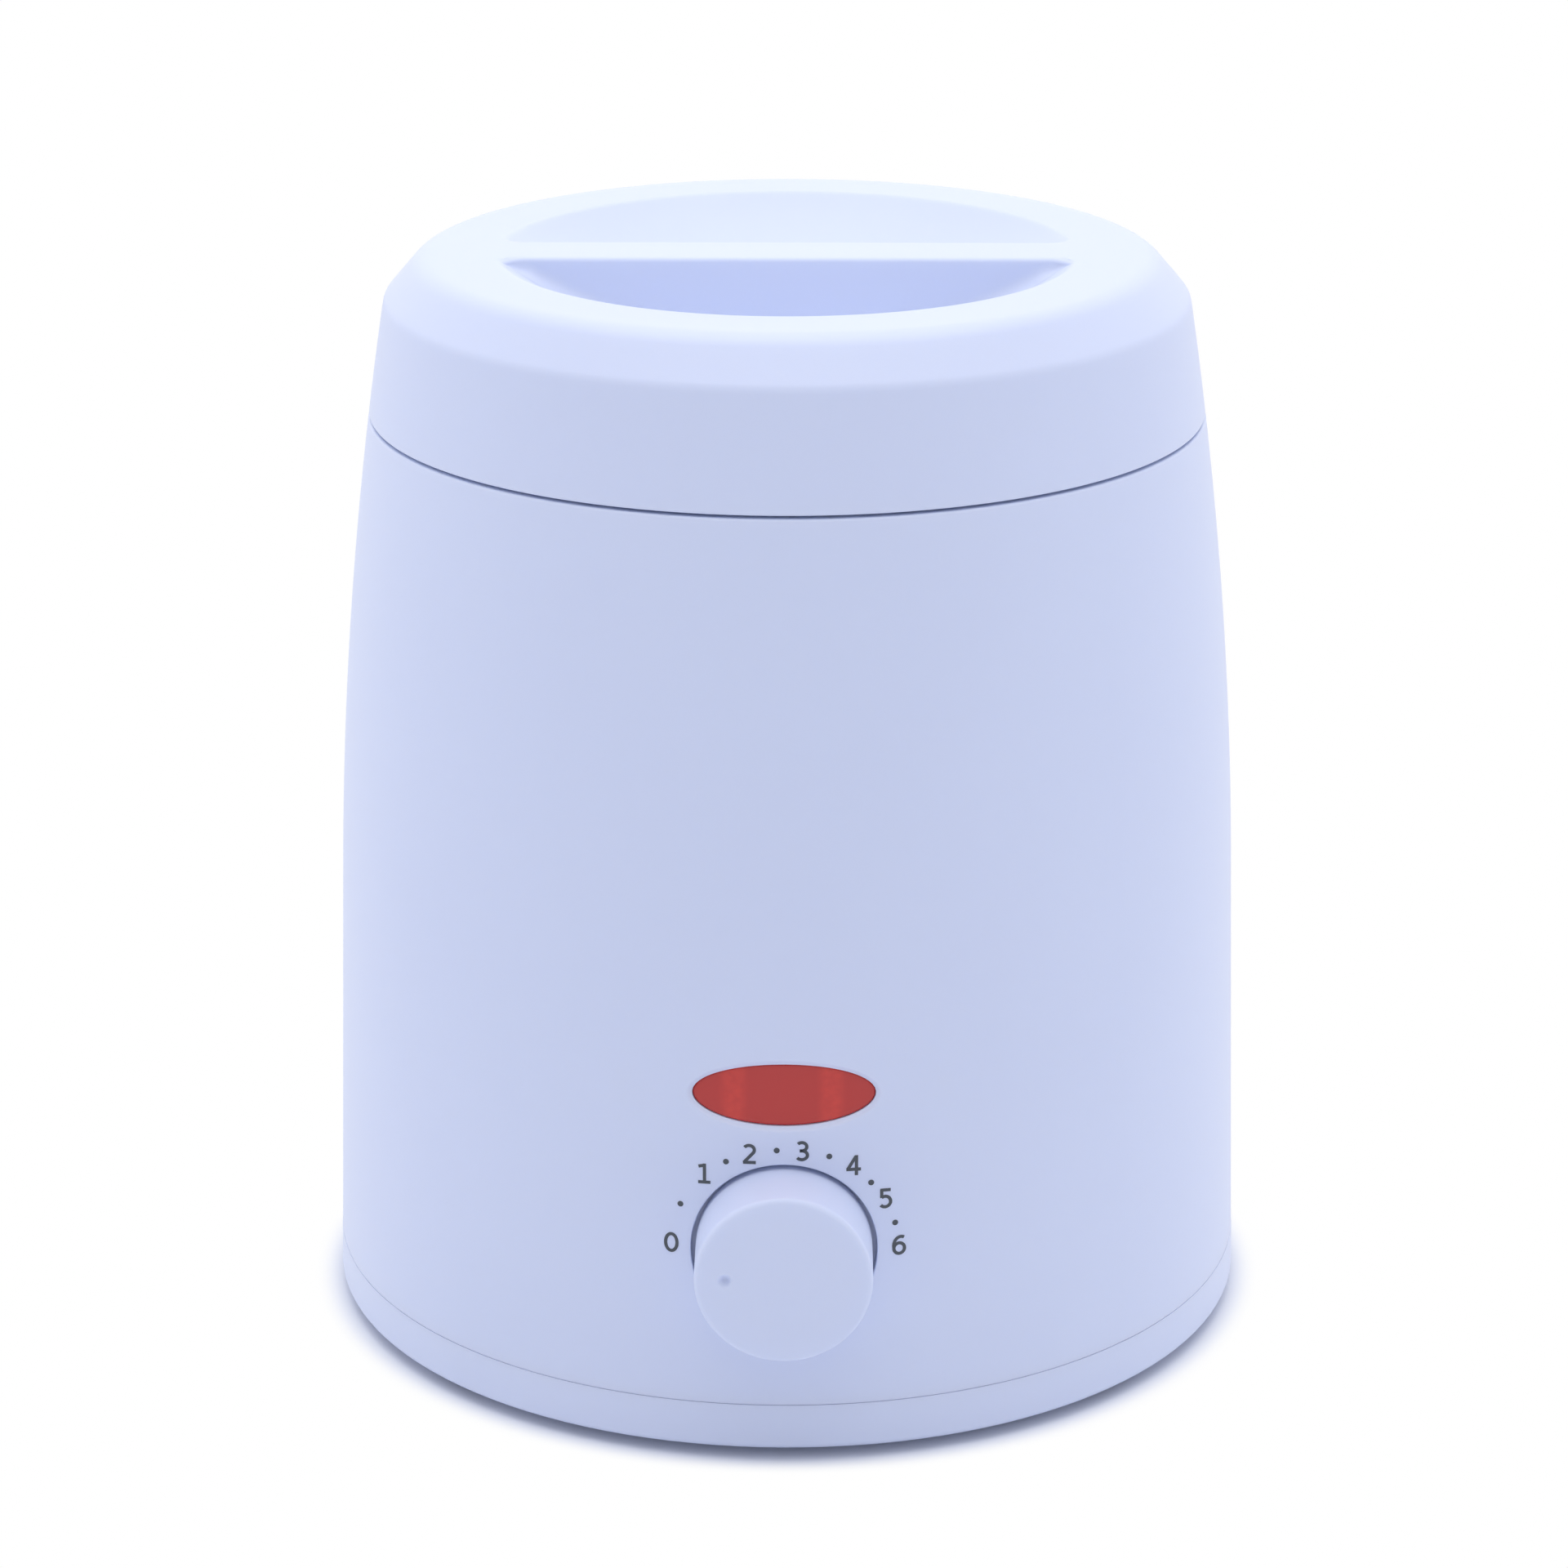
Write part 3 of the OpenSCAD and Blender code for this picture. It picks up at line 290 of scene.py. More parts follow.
def makeFloor():
    # white board: plain white wherever it is open to the sky, real shading close to the object
    half = stageLook["floorSize"] / 2
    mesh = bpy.data.meshes.new("floor")
    mesh.from_pydata([(-half, -half, 0), (half, -half, 0), (half, half, 0), (-half, half, 0)], [],
                     [(0, 1, 2, 3)])
    floor = bpy.data.objects.new("floor", mesh)
    bpy.context.scene.collection.objects.link(floor)
    material, tree, shader = newMaterial("paintedBoard")
    setInputs(tree, shader, Base_Color=linear(stageLook["floorColour"]), Roughness=0.9,
              Specular_IOR_Level=0.1)
    openness = addNode(tree, "ShaderNodeAmbientOcclusion", {"samples": 16},
                       Distance=stageLook["shadowReach"] * mm)
    low, high = stageLook["open"]
    share = smoothRange(tree, openness.outputs["AO"], From_Min=low, From_Max=high)
    white = addNode(tree, "ShaderNodeEmission", Color=plainWhite, Strength=1.0)
    mix = addNode(tree, "ShaderNodeMixShader", i0=maths(tree, "MULTIPLY", share, seenRays(tree)),
                  i1=shader.outputs[0], i2=white.outputs[0])
    setInputs(tree, tree.nodes["Material Output"], Surface=mix.outputs[0])
    mesh.materials.append(material)


def makeTopLight():
    # one large soft lamp straight above
    data = bpy.data.lights.new("topLight", "AREA")
    data.shape = "DISK"
    data.size = stageLook["topSize"]
    data.energy = stageLook["topPower"]
    data.color = linear(stageLook["topColour"])[:3]
    light = bpy.data.objects.new("topLight", data)
    bpy.context.scene.collection.objects.link(light)
    light.location = (0, 0, stageLook["topHeight"])


makeWorld()
makeFloor()
makeTopLight()
print("stage set")


def noise(tree, pitch, **values):
    # noise of that pitch in mm, fixed to the piece
    coords = addNode(tree, "ShaderNodeTexCoord").outputs["Object"]
    return addNode(tree, "ShaderNodeTexNoise", Vector=coords, Scale=1 / (pitch * mm), **values).outputs["Fac"]


def wave(tree, pitch, settings, **values):
    # waves of that pitch in mm, fixed to the piece; a wave texture of scale 1 has 20 radians to the metre
    coords = addNode(tree, "ShaderNodeTexCoord").outputs["Object"]
    return addNode(tree, "ShaderNodeTexWave", settings, Vector=coords,
                   Scale=2 * math.pi / (20 * pitch * mm), **values).outputs["Fac"]


def mixed(tree, factor, low, high):
    # colour between two others
    return addNode(tree, "ShaderNodeMix", {"data_type": "RGBA"}, Factor=factor, i6=low, i7=high).outputs[2]


def shade(colour, share):
    # a colour made that much lighter or darker
    return [min(1, c * share) for c in linear(colour)[:3]] + [1]


def bumped(tree, height, lift, strength):
    # surface direction of a relief that is lift mm high
    return addNode(tree, "ShaderNodeBump", Height=height, Distance=lift * mm, Strength=strength).outputs[0]


def glossRange(tree, value, rough, waver=0.04):
    # roughness that wavers a little round its mean
    return addNode(tree, "ShaderNodeMapRange", Value=value, To_Min=rough - waver,
                   To_Max=rough + waver).outputs[0]


# pitches and relief in mm
bodyLook = {"colour": "#dde4fa", "rough": 0.40, "grain": 0.5, "lift": 0.010, "cloud": 100 / 3}
deckLook = {"colour": "#ccd2e2", "rough": 0.55, "grain": 0.6, "lift": 0.014, "cloud": 100 / 3}


def makeAbs(name, look):
    # injection-moulded plastic from a spark-eroded tool: satin, with broad soft highlights
    # and a little light inside
    material, tree, shader = newMaterial(name)
    grain = noise(tree, look["grain"], Detail=2.0, Roughness=0.55)
    cloud = noise(tree, look["cloud"], Detail=2.0)
    tint = mixed(tree, cloud, shade(look["colour"], 0.985), shade(look["colour"], 1.015))
    setInputs(tree, shader, Base_Color=tint, Roughness=glossRange(tree, grain, look["rough"]),
              Normal=bumped(tree, grain, look["lift"], 0.5), IOR=1.53, Subsurface_Weight=0.25,
              Subsurface_Radius=(0.8, 0.9, 1.0), Subsurface_Scale=1.8 * mm)
    return material


def makeSoft(name, colour, rough, pitch, lift, spread=0.06):
    # moulded or cast material with an even surface: two tints in fine patches, and a grain
    material, tree, shader = newMaterial(name)
    grain = noise(tree, pitch, Detail=3.0)
    tint = mixed(tree, grain, shade(colour, 1 - spread), shade(colour, 1 + spread))
    setInputs(tree, shader, Base_Color=tint, Normal=bumped(tree, grain, lift, 0.6), Roughness=rough,
              IOR=1.5)
    return material


def makeMetal(name, colour, rough, pitch, lift, turnedLines=False):
    # bare or plated metal: fine mottling of the gloss, or the fine rings of a spun part
    material, tree, shader = newMaterial(name)
    grain = noise(tree, pitch, Detail=3.0)
    height = grain
    if turnedLines:
        height = wave(tree, pitch, {"wave_type": "RINGS", "rings_direction": "SPHERICAL"},
                      Distortion=1.5, Detail=2.0, Detail_Scale=0.3)
    setInputs(tree, shader, Base_Color=mixed(tree, height, shade(colour, 0.93), linear(colour)),
              Roughness=glossRange(tree, grain, rough), Normal=bumped(tree, height, lift, 0.5),
              Metallic=1.0)
    return material


lensLook = {
    "colour": "#c22a26",
    # painted light: the lighter red of the two lit strips
    "paintedStripLight": "#e03a2c",
    "rough": 0.25,
    "ribs": (-6.6, 6.2),         # x of the two painted light strips, where ribs behind the lens would catch the light
    "paintedLightFade": (0.45, 2.25),     # distances from a strip's middle between which its painted light fades
    "grain": 1.2,
}


def makeLens(name, look):
    # tinted polycarbonate, polished: glossy and deep, with two lighter strips painted in its colour as the
    # light that ribs behind it would catch
    material, tree, shader = newMaterial(name)
    coords = addNode(tree, "ShaderNodeTexCoord").outputs["Object"]
    x = addNode(tree, "ShaderNodeSeparateXYZ", Vector=coords).outputs["X"]
    near, far = look["paintedLightFade"]
    # painted light: bands of lighter red that fade out from each strip's middle
    ribs = [smoothRange(tree, maths(tree, "ABSOLUTE", maths(tree, "SUBTRACT", x, middle * mm)),
                        From_Min=near * mm, From_Max=far * mm, To_Min=1.0, To_Max=0.0)
            for middle in look["ribs"]]
    share = maths(tree, "MULTIPLY", maths(tree, "MAXIMUM", *ribs), noise(tree, look["grain"], Detail=2.0))
    setInputs(tree, shader, Base_Color=mixed(tree, share, linear(look["colour"]), linear(look["paintedStripLight"])),
              Roughness=look["rough"], IOR=1.58, Subsurface_Weight=0.3,
              Subsurface_Radius=(1.0, 0.15, 0.12), Subsurface_Scale=1.5 * mm)
    return material


def makeWeave(name, light, dark, thread, rough=0.8):
    # woven glass yarn: two crossing sets of threads of that width in mm, matt with a faint sheen
    material, tree, shader = newMaterial(name)
    threads = [wave(tree, thread, {"wave_type": "BANDS", "bands_direction": axis}, Distortion=0.6)
               for axis in ("Z", "DIAGONAL")]
    height = maths(tree, "MAXIMUM", *threads)
    setInputs(tree, shader, Base_Color=mixed(tree, height, linear(dark), linear(light)), Roughness=rough,
              Normal=bumped(tree, height, 0.2, 0.7), Sheen_Weight=0.3)
    return material


def makeGlass(name):
    # small neon bulb: thin clear glass with a warm grey inside
    material, tree, shader = newMaterial(name)
    tint = mixed(tree, noise(tree, 2.0), linear("#f3e3dc"), linear("#fff3ee"))
    setInputs(tree, shader, Base_Color=tint, Roughness=0.04, IOR=1.5, Transmission_Weight=0.85)
    return material


def makeStriped(name, first, second, pitch):
    # earth lead: soft PVC with a stripe of the second colour that winds along it
    material, tree, shader = newMaterial(name)
    stripe = wave(tree, pitch, {"wave_type": "BANDS", "bands_direction": "DIAGONAL"})
    share = addNode(tree, "ShaderNodeMapRange", Value=stripe, From_Min=0.55, From_Max=0.65).outputs[0]
    setInputs(tree, shader, Base_Color=mixed(tree, share, linear(first), linear(second)), Roughness=0.4)
    return material


# after the colour: roughness, pitch of the grain and its relief, both in mm
finishes = {
    "body_abs": makeAbs("mouldedAbs", bodyLook),
    "deck_pbt": makeAbs("mouldedPolyester", deckLook),
    "lens_red": makeLens("redPolycarbonate", lensLook),
    "foot_rubber": makeSoft("nitrileRubber", "#3a3b3f", 0.75, 0.4, 0.03),               # dull, finely matt
    "pot_aluminium": makeMetal("spunAluminium", "#dcdde0", 0.26, 0.5, 0.002, True),     # softly ringed
    "well_aluminium": makeMetal("pressedAluminium", "#c6c8cc", 0.36, 0.7, 0.003, True),
    "bail_wire": makeMetal("drawnSteelWire", "#d4d5d8", 0.2, 3.0, 0.001),               # bright nickel plate
    "zinc_steel": makeMetal("zincPlatedSteel", "#c3c8cf", 0.34, 0.9, 0.005),            # cool, cloudy
    "band_steel": makeMetal("annealedSteelStrip", "#a9a196", 0.42, 1.5, 0.008),         # straw tint from heat
    "gasket_silicone": makeSoft("castSilicone", "#b4644f", 0.55, 0.6, 0.02),            # brick red, waxy
    "glass_fibre": makeWeave("glassFibreCloth", "#efe6cf", "#c9bea4", 0.9),
    "copper": makeMetal("drawnCopper", "#c98a6a", 0.3, 1.0, 0.004),
    "brass_parts": makeMetal("stampedBrass", "#cdb068", 0.3, 1.0, 0.005),
    "phenolic": makeSoft("mouldedPhenolic", "#2d2b2c", 0.35, 0.5, 0.01),                # hard gloss
    "nylon": makeSoft("mouldedNylon", "#e6e6e1", 0.45, 0.5, 0.012),                     # milky, slightly waxy
    "lamp_glass": makeGlass("lampGlass"),
    "resistor_body": makeSoft("lacqueredCeramic", "#c9a878", 0.3, 0.5, 0.01),
    "fuse_sleeve": makeWeave("braidedSleeve", "#ece6d8", "#b9b09c", 0.7),
    "lead_white": makeSoft("whitePvcLead", "#e9e8e4", 0.4, 0.7, 0.006),
    "lead_black": makeSoft("blackPvcLead", "#232325", 0.4, 0.7, 0.006),
    "lead_earth": makeStriped("stripedPvcLead", "#5f9a3a", "#d8c93a", 4.0),
}
finishes["lid_abs"] = finishes["body_abs"]
finishes["knob_abs"] = finishes["body_abs"]
printInk = makeSoft("padPrintInk", "#4b5056", 0.5, 0.3, 0.004, spread=0.08)             # thin and matt
print("materials made")

housing = {
    "footRadius": nodeBox("base_cover")[1][0],     # outside radius at the foot of the side
    "footHeight": nodeBox("base_cover")[0][2],
    "slope": 0.032,
    "curveStart": 64.0,
    "curveRadius": 594.0,
    "wall": 2.2,
    "bottom": nodeBox("base_cover")[1][2] + 0.04,  # lower edge of the moulding, just above the base's rim
    "top": nodeBox("housing_shell")[1][2],
    "lipBottom": nodeBox("housing_shell")[0][2],
    "lipGap": 0.3,
    "lipWall": 1.5,
    "ledgeTop": nodeBox("top_deck")[1][2] - 2.2,
    "ledgeWidth": 2.1,
    "ledgeHeight": 2.0,
    "edge": 0.4,                                    # soft edge at the seam
    "footEdge": 0.1,                                # and at the lower edge of the moulding
    "frontTurn": 15.75,                             # degrees each way with finer columns
    "backTurn": 8.1,
    "frontStep": 0.75,
    "backStep": 0.9,
    "sideColumns": 78,
    "rowStep": 3.0,
}
pocket = {
    "centre": (0.0, 30.0),                          # x, z of the knob's axis
    "radius": 12.3,
    "edge": 0.22,
    "floor": -60.9,
    "back": -58.7,
    "hole": 4.9,
    "block": (12.5, 44.5),                          # heights between which the wall is remeshed
}
window = {
    "centre": (0.0, 51.9),
    "half": (12.0, 4.3),
    "bevel": 0.75,
    "bevelDepth": 0.38,
    "block": (44.5, 60.0),
}
inlet = {
    "centre": (0.0, 17.0),
    "radius": 6.05,
    "block": (9.6, 24.5),
    "padRadius": 9.0,
    "padRise": 0.8,
    "padRoot": 1.6,                                 # how far the pad starts inside the wall
}
smallEdge = 0.3                                     # radius of moulded edges that hardly show


def bodyRadius(z):
    # straight taper from the foot, then a shallow arc that leans inwards
    lean = np.maximum(0, z - housing["curveStart"])
    taper = housing["footRadius"] - housing["slope"] * (z - housing["footHeight"])
    return taper - lean ** 2 / (2 * housing["curveRadius"])


def skinDepth(side, inset):
    # y of the wall at (x, z): the circle of that height's radius less the inset; side is -1 in front
    return lambda x, z: side * np.sqrt(np.maximum((bodyRadius(z) - inset) ** 2 - x ** 2, 0))


def flatDepth(y):
    return lambda x, z: y + 0 * x


def blockEdge(block):
    # once round a block of grid points: along the bottom, up, back along the top and down
    return np.concatenate([block[0, :-1], block[:-1, -1], block[-1, :0:-1], block[:0:-1, 0]])


def tunnel(surface, outer, inner, centre, half, rings):
    # from a block's edge on the outside, over the rings of an oval opening, to the block's edge inside;
    # a ring is (how much larger than the oval, depth function), and its points keep their angle on the oval
    cx, cz = centre

    def oval(grow, loop):
        angle = np.arctan2((loop[:, 2] - cz) / half[1], (loop[:, 0] - cx) / half[0])
        return cx + (half[0] + grow) * np.cos(angle), cz + (half[1] + grow) * np.sin(angle)

    def spread(loop, ring, shares):
        # rows between a block's edge and the oval, on the wall itself
        x, z = oval(ring[0], loop)
        rows = [(loop[:, 0] + (x - loop[:, 0]) * t, loop[:, 2] + (z - loop[:, 2]) * t) for t in shares]
        return [np.stack([u, ring[1](u, v), v], axis=-1) for u, v in rows]

    shares = np.linspace(0, 1, 9) ** 0.8
    rows = [outer] + spread(outer, rings[0], shares[1:-1])
    for grow, depth in rings:
        x, z = oval(grow, outer)
        rows.append(np.stack([x, depth(x, z), z], axis=-1))
    rows += spread(inner, rings[-1], shares[1:-1][::-1]) + [inner]
    surface.sheet(np.stack(rows), around=True)


def pocketRings():
    # soft mouth, wall, floor round the bush hole, then the back of the cup and out to the inner wall
    wall, edge, cup, floor = housing["wall"], pocket["edge"], smallEdge, pocket["floor"]
    rings = [(edge, skinDepth(-1, 0))]
    for q in quarter(5):
        rings.append((edge * (1 - math.sin(q)), skinDepth(-1, edge * (1 - math.cos(q)))))
    rings.append((0, skinDepth(-1, edge * 1.3)))
    rings.append((0, flatDepth(floor - 2 * cup)))
    for q in [0, *quarter(4)]:
        rings.append((cup * (math.cos(q) - 1), flatDepth(floor - cup * (1 - math.sin(q)))))
    bore = pocket["hole"] - pocket["radius"]
    rings += [(grow, flatDepth(floor)) for grow in (-2 * cup, bore + cup, bore)]
    rings += [(grow, flatDepth(pocket["back"])) for grow in (bore, bore + cup, wall)]
    return rings + [(wall, skinDepth(-1, wall))]


def windowRings():
    # shallow bevel round the window, then the slot through the wall
    wall, bevel, depth = housing["wall"], window["bevel"], window["bevelDepth"]
    rings = [(bevel * 1.15, skinDepth(-1, 0))]
    for t in np.linspace(0, 1, 6):
        fall = t * t * (3 - 2 * t)      # eases in and out
        rings.append((bevel * (1 - t), skinDepth(-1, depth * fall)))
    rings += [(0, skinDepth(-1, depth * 1.3)), (0, skinDepth(-1, wall - 0.1)), (0, skinDepth(-1, wall))]
    return rings


def inletRings():
    # plain round hole
    return [(0, skinDepth(1, 0)), (0, skinDepth(1, housing["wall"]))]


def nearest(values, wanted):
    return int(np.argmin(abs(values - wanted)))


def makeHousing():
    # one closed loop of wall carried round the axis, with three blocks of it remeshed round the openings
    wall = housing["wall"]
    lowZ, topZ = housing["bottom"], housing["top"]
    lipOut = bodyRadius(lowZ) - wall - housing["lipGap"]
    lipIn = lipOut - housing["lipWall"]
    fineZ = np.linspace(inlet["block"][0], window["block"][1], 65)
    rowStep, lipBottom = housing["rowStep"], housing["lipBottom"]
    outerZ = np.concatenate([[lowZ + 0.6], fineZ, np.arange(fineZ[-1] + 2, topZ - rowStep, rowStep)])
    ledgeTop, ledgeLow = housing["ledgeTop"], housing["ledgeTop"] - housing["ledgeHeight"]
    innerZ = outerZ[(outerZ > lowZ + 1) & (outerZ < ledgeLow)][::-1]
    bottom = softOutline([(lipIn, lowZ + 1, 0), (lipIn, lipBottom, smallEdge), (lipOut, lipBottom, smallEdge),
                          (lipOut, lowZ, 0), (bodyRadius(lowZ), lowZ, housing["footEdge"]),
                          (bodyRadius(lowZ + 2), lowZ + 2, 0)], closed=False)[:-1]
    top = softOutline([(bodyRadius(topZ - 2), topZ - 2, 0), (bodyRadius(topZ), topZ, housing["edge"]),
                       (bodyRadius(topZ) - wall, topZ, smallEdge),
                       (bodyRadius(topZ - 2) - wall, topZ - 2, 0)], closed=False)
    ledgeR = bodyRadius(ledgeTop) - wall - housing["ledgeWidth"]
    ledge = np.array([(bodyRadius(ledgeTop) - wall, ledgeTop), (ledgeR, ledgeTop), (ledgeR, ledgeLow),
                      (bodyRadius(ledgeLow) - wall, ledgeLow)])
    outerWall = np.stack([bodyRadius(outerZ), outerZ], axis=-1)
    innerWall = np.stack([bodyRadius(innerZ) - wall, innerZ], axis=-1)
    profile = closed(np.concatenate([bottom, outerWall, top, ledge, innerWall]))
    front, back = housing["frontTurn"], housing["backTurn"]
    side = np.linspace(front, 180 - back, housing["sideColumns"] + 1)
    degrees = np.concatenate([np.arange(-front, front, housing["frontStep"]), side[:-1],
                              np.arange(180 - back, 180 + back, housing["backStep"]), 360 - side[:0:-1]])
    grid = turned(profile, np.radians(degrees))
    keep = np.ones((len(profile) - 1, len(degrees)), bool)
    surface = Surface()
    outerStart, innerStart = len(bottom), len(profile) - 1 - len(innerWall)
    # each opening: block heights, first and last column, centre, half sizes, rings
    columnsFront = (0, nearest(degrees, front))
    columnsBack = (nearest(degrees, 180 - back), nearest(degrees, 180 + back))
    openings = [
        (pocket["block"], columnsFront, pocket["centre"], (pocket["radius"],) * 2, pocketRings()),
        (window["block"], columnsFront, window["centre"], window["half"], windowRings()),
        (inlet["block"], columnsBack, inlet["centre"], (inlet["radius"],) * 2, inletRings()),
    ]
    for block, (first, last), centre, half, rings in openings:
        r0, r1 = (outerStart + nearest(outerZ, z) for z in block)
        s1, s0 = (innerStart + nearest(innerZ, z) for z in block)
        cols = slice(first, last + 1)
        keep[r0:r1, first:last] = False
        keep[s0:s1, first:last] = False
        tunnel(surface, blockEdge(grid[r0:r1 + 1, cols]), blockEdge(grid[s0:s1 + 1, cols][::-1]), centre,
               half, rings)
    surface.sheet(grid, around=True, keep=keep)
    makeBosses(surface)
    return surface.build("housing_moulding", finishes["body_abs"], "housing", ["housing_shell"])


def tubeBoss(surface, centre, radius, bore, height, depth, along):
    # closed boss with a blind pilot hole, standing on the wall; along is "z" or "y"
    outline = closed(softOutline([(bore, 0, 0), (radius, 0, smallEdge), (radius, height, 0), (0, height, 0),
                                  (0, depth, 0), (bore, depth, 0)], steps=3))
    turn = fullTurn(40)
    if along == "z":
        surface.sheet(turned(outline, turn) + np.array(centre), around=True)
    else:
        outline = outline * [1, -1]
        surface.sheet(turnedBack(outline, turn, centre), around=True)


bosses = {"seat": 6.2, "radius": 4.0, "bore": 1.55, "height": 12.0, "depth": 11.0, "headRadius": 2.8}
posts = {"x": 18.5, "radius": 3.0, "bore": 1.3, "height": 8.8, "depth": 7.6, "bracket": 1.5}


def makeBosses(surface):
    # four bosses for the base screws, two posts for the lamp's bracket and the pad round the cord inlet
    pitch = nodeBox("base_screws")[1][0] - bosses["headRadius"]
    postY = nodeBox("lamp_bracket")[1][1] - posts["bracket"]
    for side in (-1, 1):
        for end in (-1, 1):
            tubeBoss(surface, (side * pitch, end * pitch, bosses["seat"]), bosses["radius"], bosses["bore"],
                     bosses["height"], bosses["depth"], "z")
        tubeBoss(surface, (side * posts["x"], postY, window["centre"][1]), posts["radius"], posts["bore"],
                 posts["height"], posts["depth"], "y")
    skinY = bodyRadius(inlet["centre"][1])
    root, face = skinY - inlet["padRoot"], skinY + inlet["padRise"]
    pad = closed(softOutline([(inlet["radius"], root, 0), (inlet["padRadius"], root, 0),
                              (inlet["padRadius"], face, smallEdge), (inlet["radius"], face, 0.2)], steps=4))
    surface.sheet(turnedBack(pad, fullTurn(72), (0, 0, inlet["centre"][1])), around=True)


makeHousing()

lidSize = {
    "top": nodeBox("lid")[1][2],
    "skirtLow": nodeBox("lid")[0][2],
    "sideLow": housing["top"] + 0.4,
    "skirtOut": bodyRadius(housing["top"]) - housing["wall"] - 0.3,
    "skirtEdge": 0.4,
    "wall": 2.0,
    "shoulderRise": 5.8,
    "shoulderRun": 5.0,
    "shoulderEdges": (2.5, 4.0),    # radii of its lower and upper edge
    "ringWidth": 10.5,              # flat ring round the recess
    "patchRadius": 44.0,            # inside this the top is meshed round the recess
    "depth": 12.5,
    "corner": 3.0,                  # corner of the recess, seen from above
    "halfBar": 5.2,
    "mouth": 0.7,                   # radius of the bar's upper edges
    "foot": 2.2,                    # radius where the bar meets the dish
    "rim": 1.5,                     # radius of the dish's rim
    "heart": (0.0, -18.0),          # where the rows of half a recess end
    "columns": (72, 12, 150),       # along the bar, round a corner and along the rim
    "dishRows": 40,
}
shoulderZ = lidSize["top"] - lidSize["shoulderRise"]
ringRadius = bodyRadius(shoulderZ) - lidSize["shoulderRun"]
dishRim = ringRadius - lidSize["ringWidth"]
dishBall = (dishRim ** 2 + lidSize["depth"] ** 2) / (2 * lidSize["depth"])


def dishDepth(rho):
    # depth below the top of a spherical dish whose rim is rounded
    bowl = np.sqrt(dishBall ** 2 - np.minimum(rho, dishRim) ** 2) - dishBall + lidSize["depth"]
    slope, rim = math.asin(dishRim / dishBall), lidSize["rim"]
    start = dishRim + rim * math.tan(slope / 2)
    inward = np.clip(start - rho, 0, rim * math.sin(slope))
    return np.where(rho < start - rim * math.sin(slope), bowl, rim - np.sqrt(rim ** 2 - inward ** 2))


def facing(angle):
    # unit vectors at these angles from X, seen from above
    return np.stack([np.cos(angle), np.sin(angle)], axis=-1)


def recessColumns():
    # once round the front half of the recess: points, directions outwards, where each column starts on the
    # flat top, and how far it belongs to the dish's rim (1) or to the bar (0)
    chord, corner, patch = lidSize["halfBar"], lidSize["corner"], lidSize["patchRadius"]
    cy = chord + corner
    cx = math.sqrt((dishRim - corner) ** 2 - cy ** 2)
    edge = math.atan2(cy, cx)
    along, around, arc = (np.arange(n) / n for n in lidSize["columns"])
    bend = facing(math.pi / 2 - around * (math.pi / 2 + edge))
    sweep = facing(-edge - arc * (math.pi - 2 * edge))
    back = facing(math.pi + edge - around * (math.pi / 2 + edge))
    bar = np.stack([-cx + 2 * cx * along, -chord + 0 * along], axis=-1)
    points = np.concatenate([bar, [cx, -cy] + corner * bend, dishRim * sweep, [-cx, -cy] + corner * back])
    away = np.concatenate([np.tile([0.0, 1.0], (len(bar), 1)), bend, sweep, back])
    late = np.maximum(0, 2 * around - 1)[:, None]
    early = np.minimum(1, 2 * around)[:, None]
    first = np.where(late > 0, patch * facing(-edge * late[:, 0]), [cx, 0] + early * [patch - cx, 0])
    last = np.where(late > 0, [-patch, 0] + late * [patch - cx, 0],
                    patch * facing(math.pi + edge * (1 - early[:, 0])))
    starts = np.concatenate([bar * [1, 0], first, patch * sweep, last])
    rim = np.concatenate([0 * along, around ** 2, 1 + 0 * arc, (1 - around) ** 2])
    return points, away, starts, rim[:, None]


def recessRows():
    # rows of half a recess: flat top, rounded mouth, bar wall, rounded foot, dish
    points, away, starts, rim = recessColumns()
    mouth, heart = lidSize["mouth"], np.array(lidSize["heart"])

    def dishAt(p):
        return dishDepth(np.linalg.norm(p, axis=1, keepdims=True))

    full = dishAt(points)
    lip = np.minimum(full, mouth)
    foot = np.clip(full - lip, 0, lidSize["foot"])
    rows = []

    def row(p, depth):
        rows.append(np.concatenate([p, lidSize["top"] - depth + 0 * p[:, :1]], axis=1))

    for t in (0, 0.5, 0.85, 1):
        row(starts + (points + mouth * away - starts) * t, 0)
    for q in quarter(6):
        p = points + away * mouth * (1 - math.sin(q))
        row(p, rim * dishAt(p) + (1 - rim) * lip * (1 - math.cos(q)))
    for t in (0.3, 0.65):
        row(points, lip + (full - foot - lip) * t)
    for q in [0, *quarter(6)]:
        p = points - away * foot * (1 - math.cos(q))
        row(p, dishAt(p) - foot * (1 - math.sin(q)))
    edge = points - away * foot
    # rows lie closer near the edge
    for t in np.linspace(0, 1, lidSize["dishRows"])[1:] ** 1.8:
        p = edge + (heart - edge) * t
        row(p, dishAt(p))
    return np.stack(rows), starts


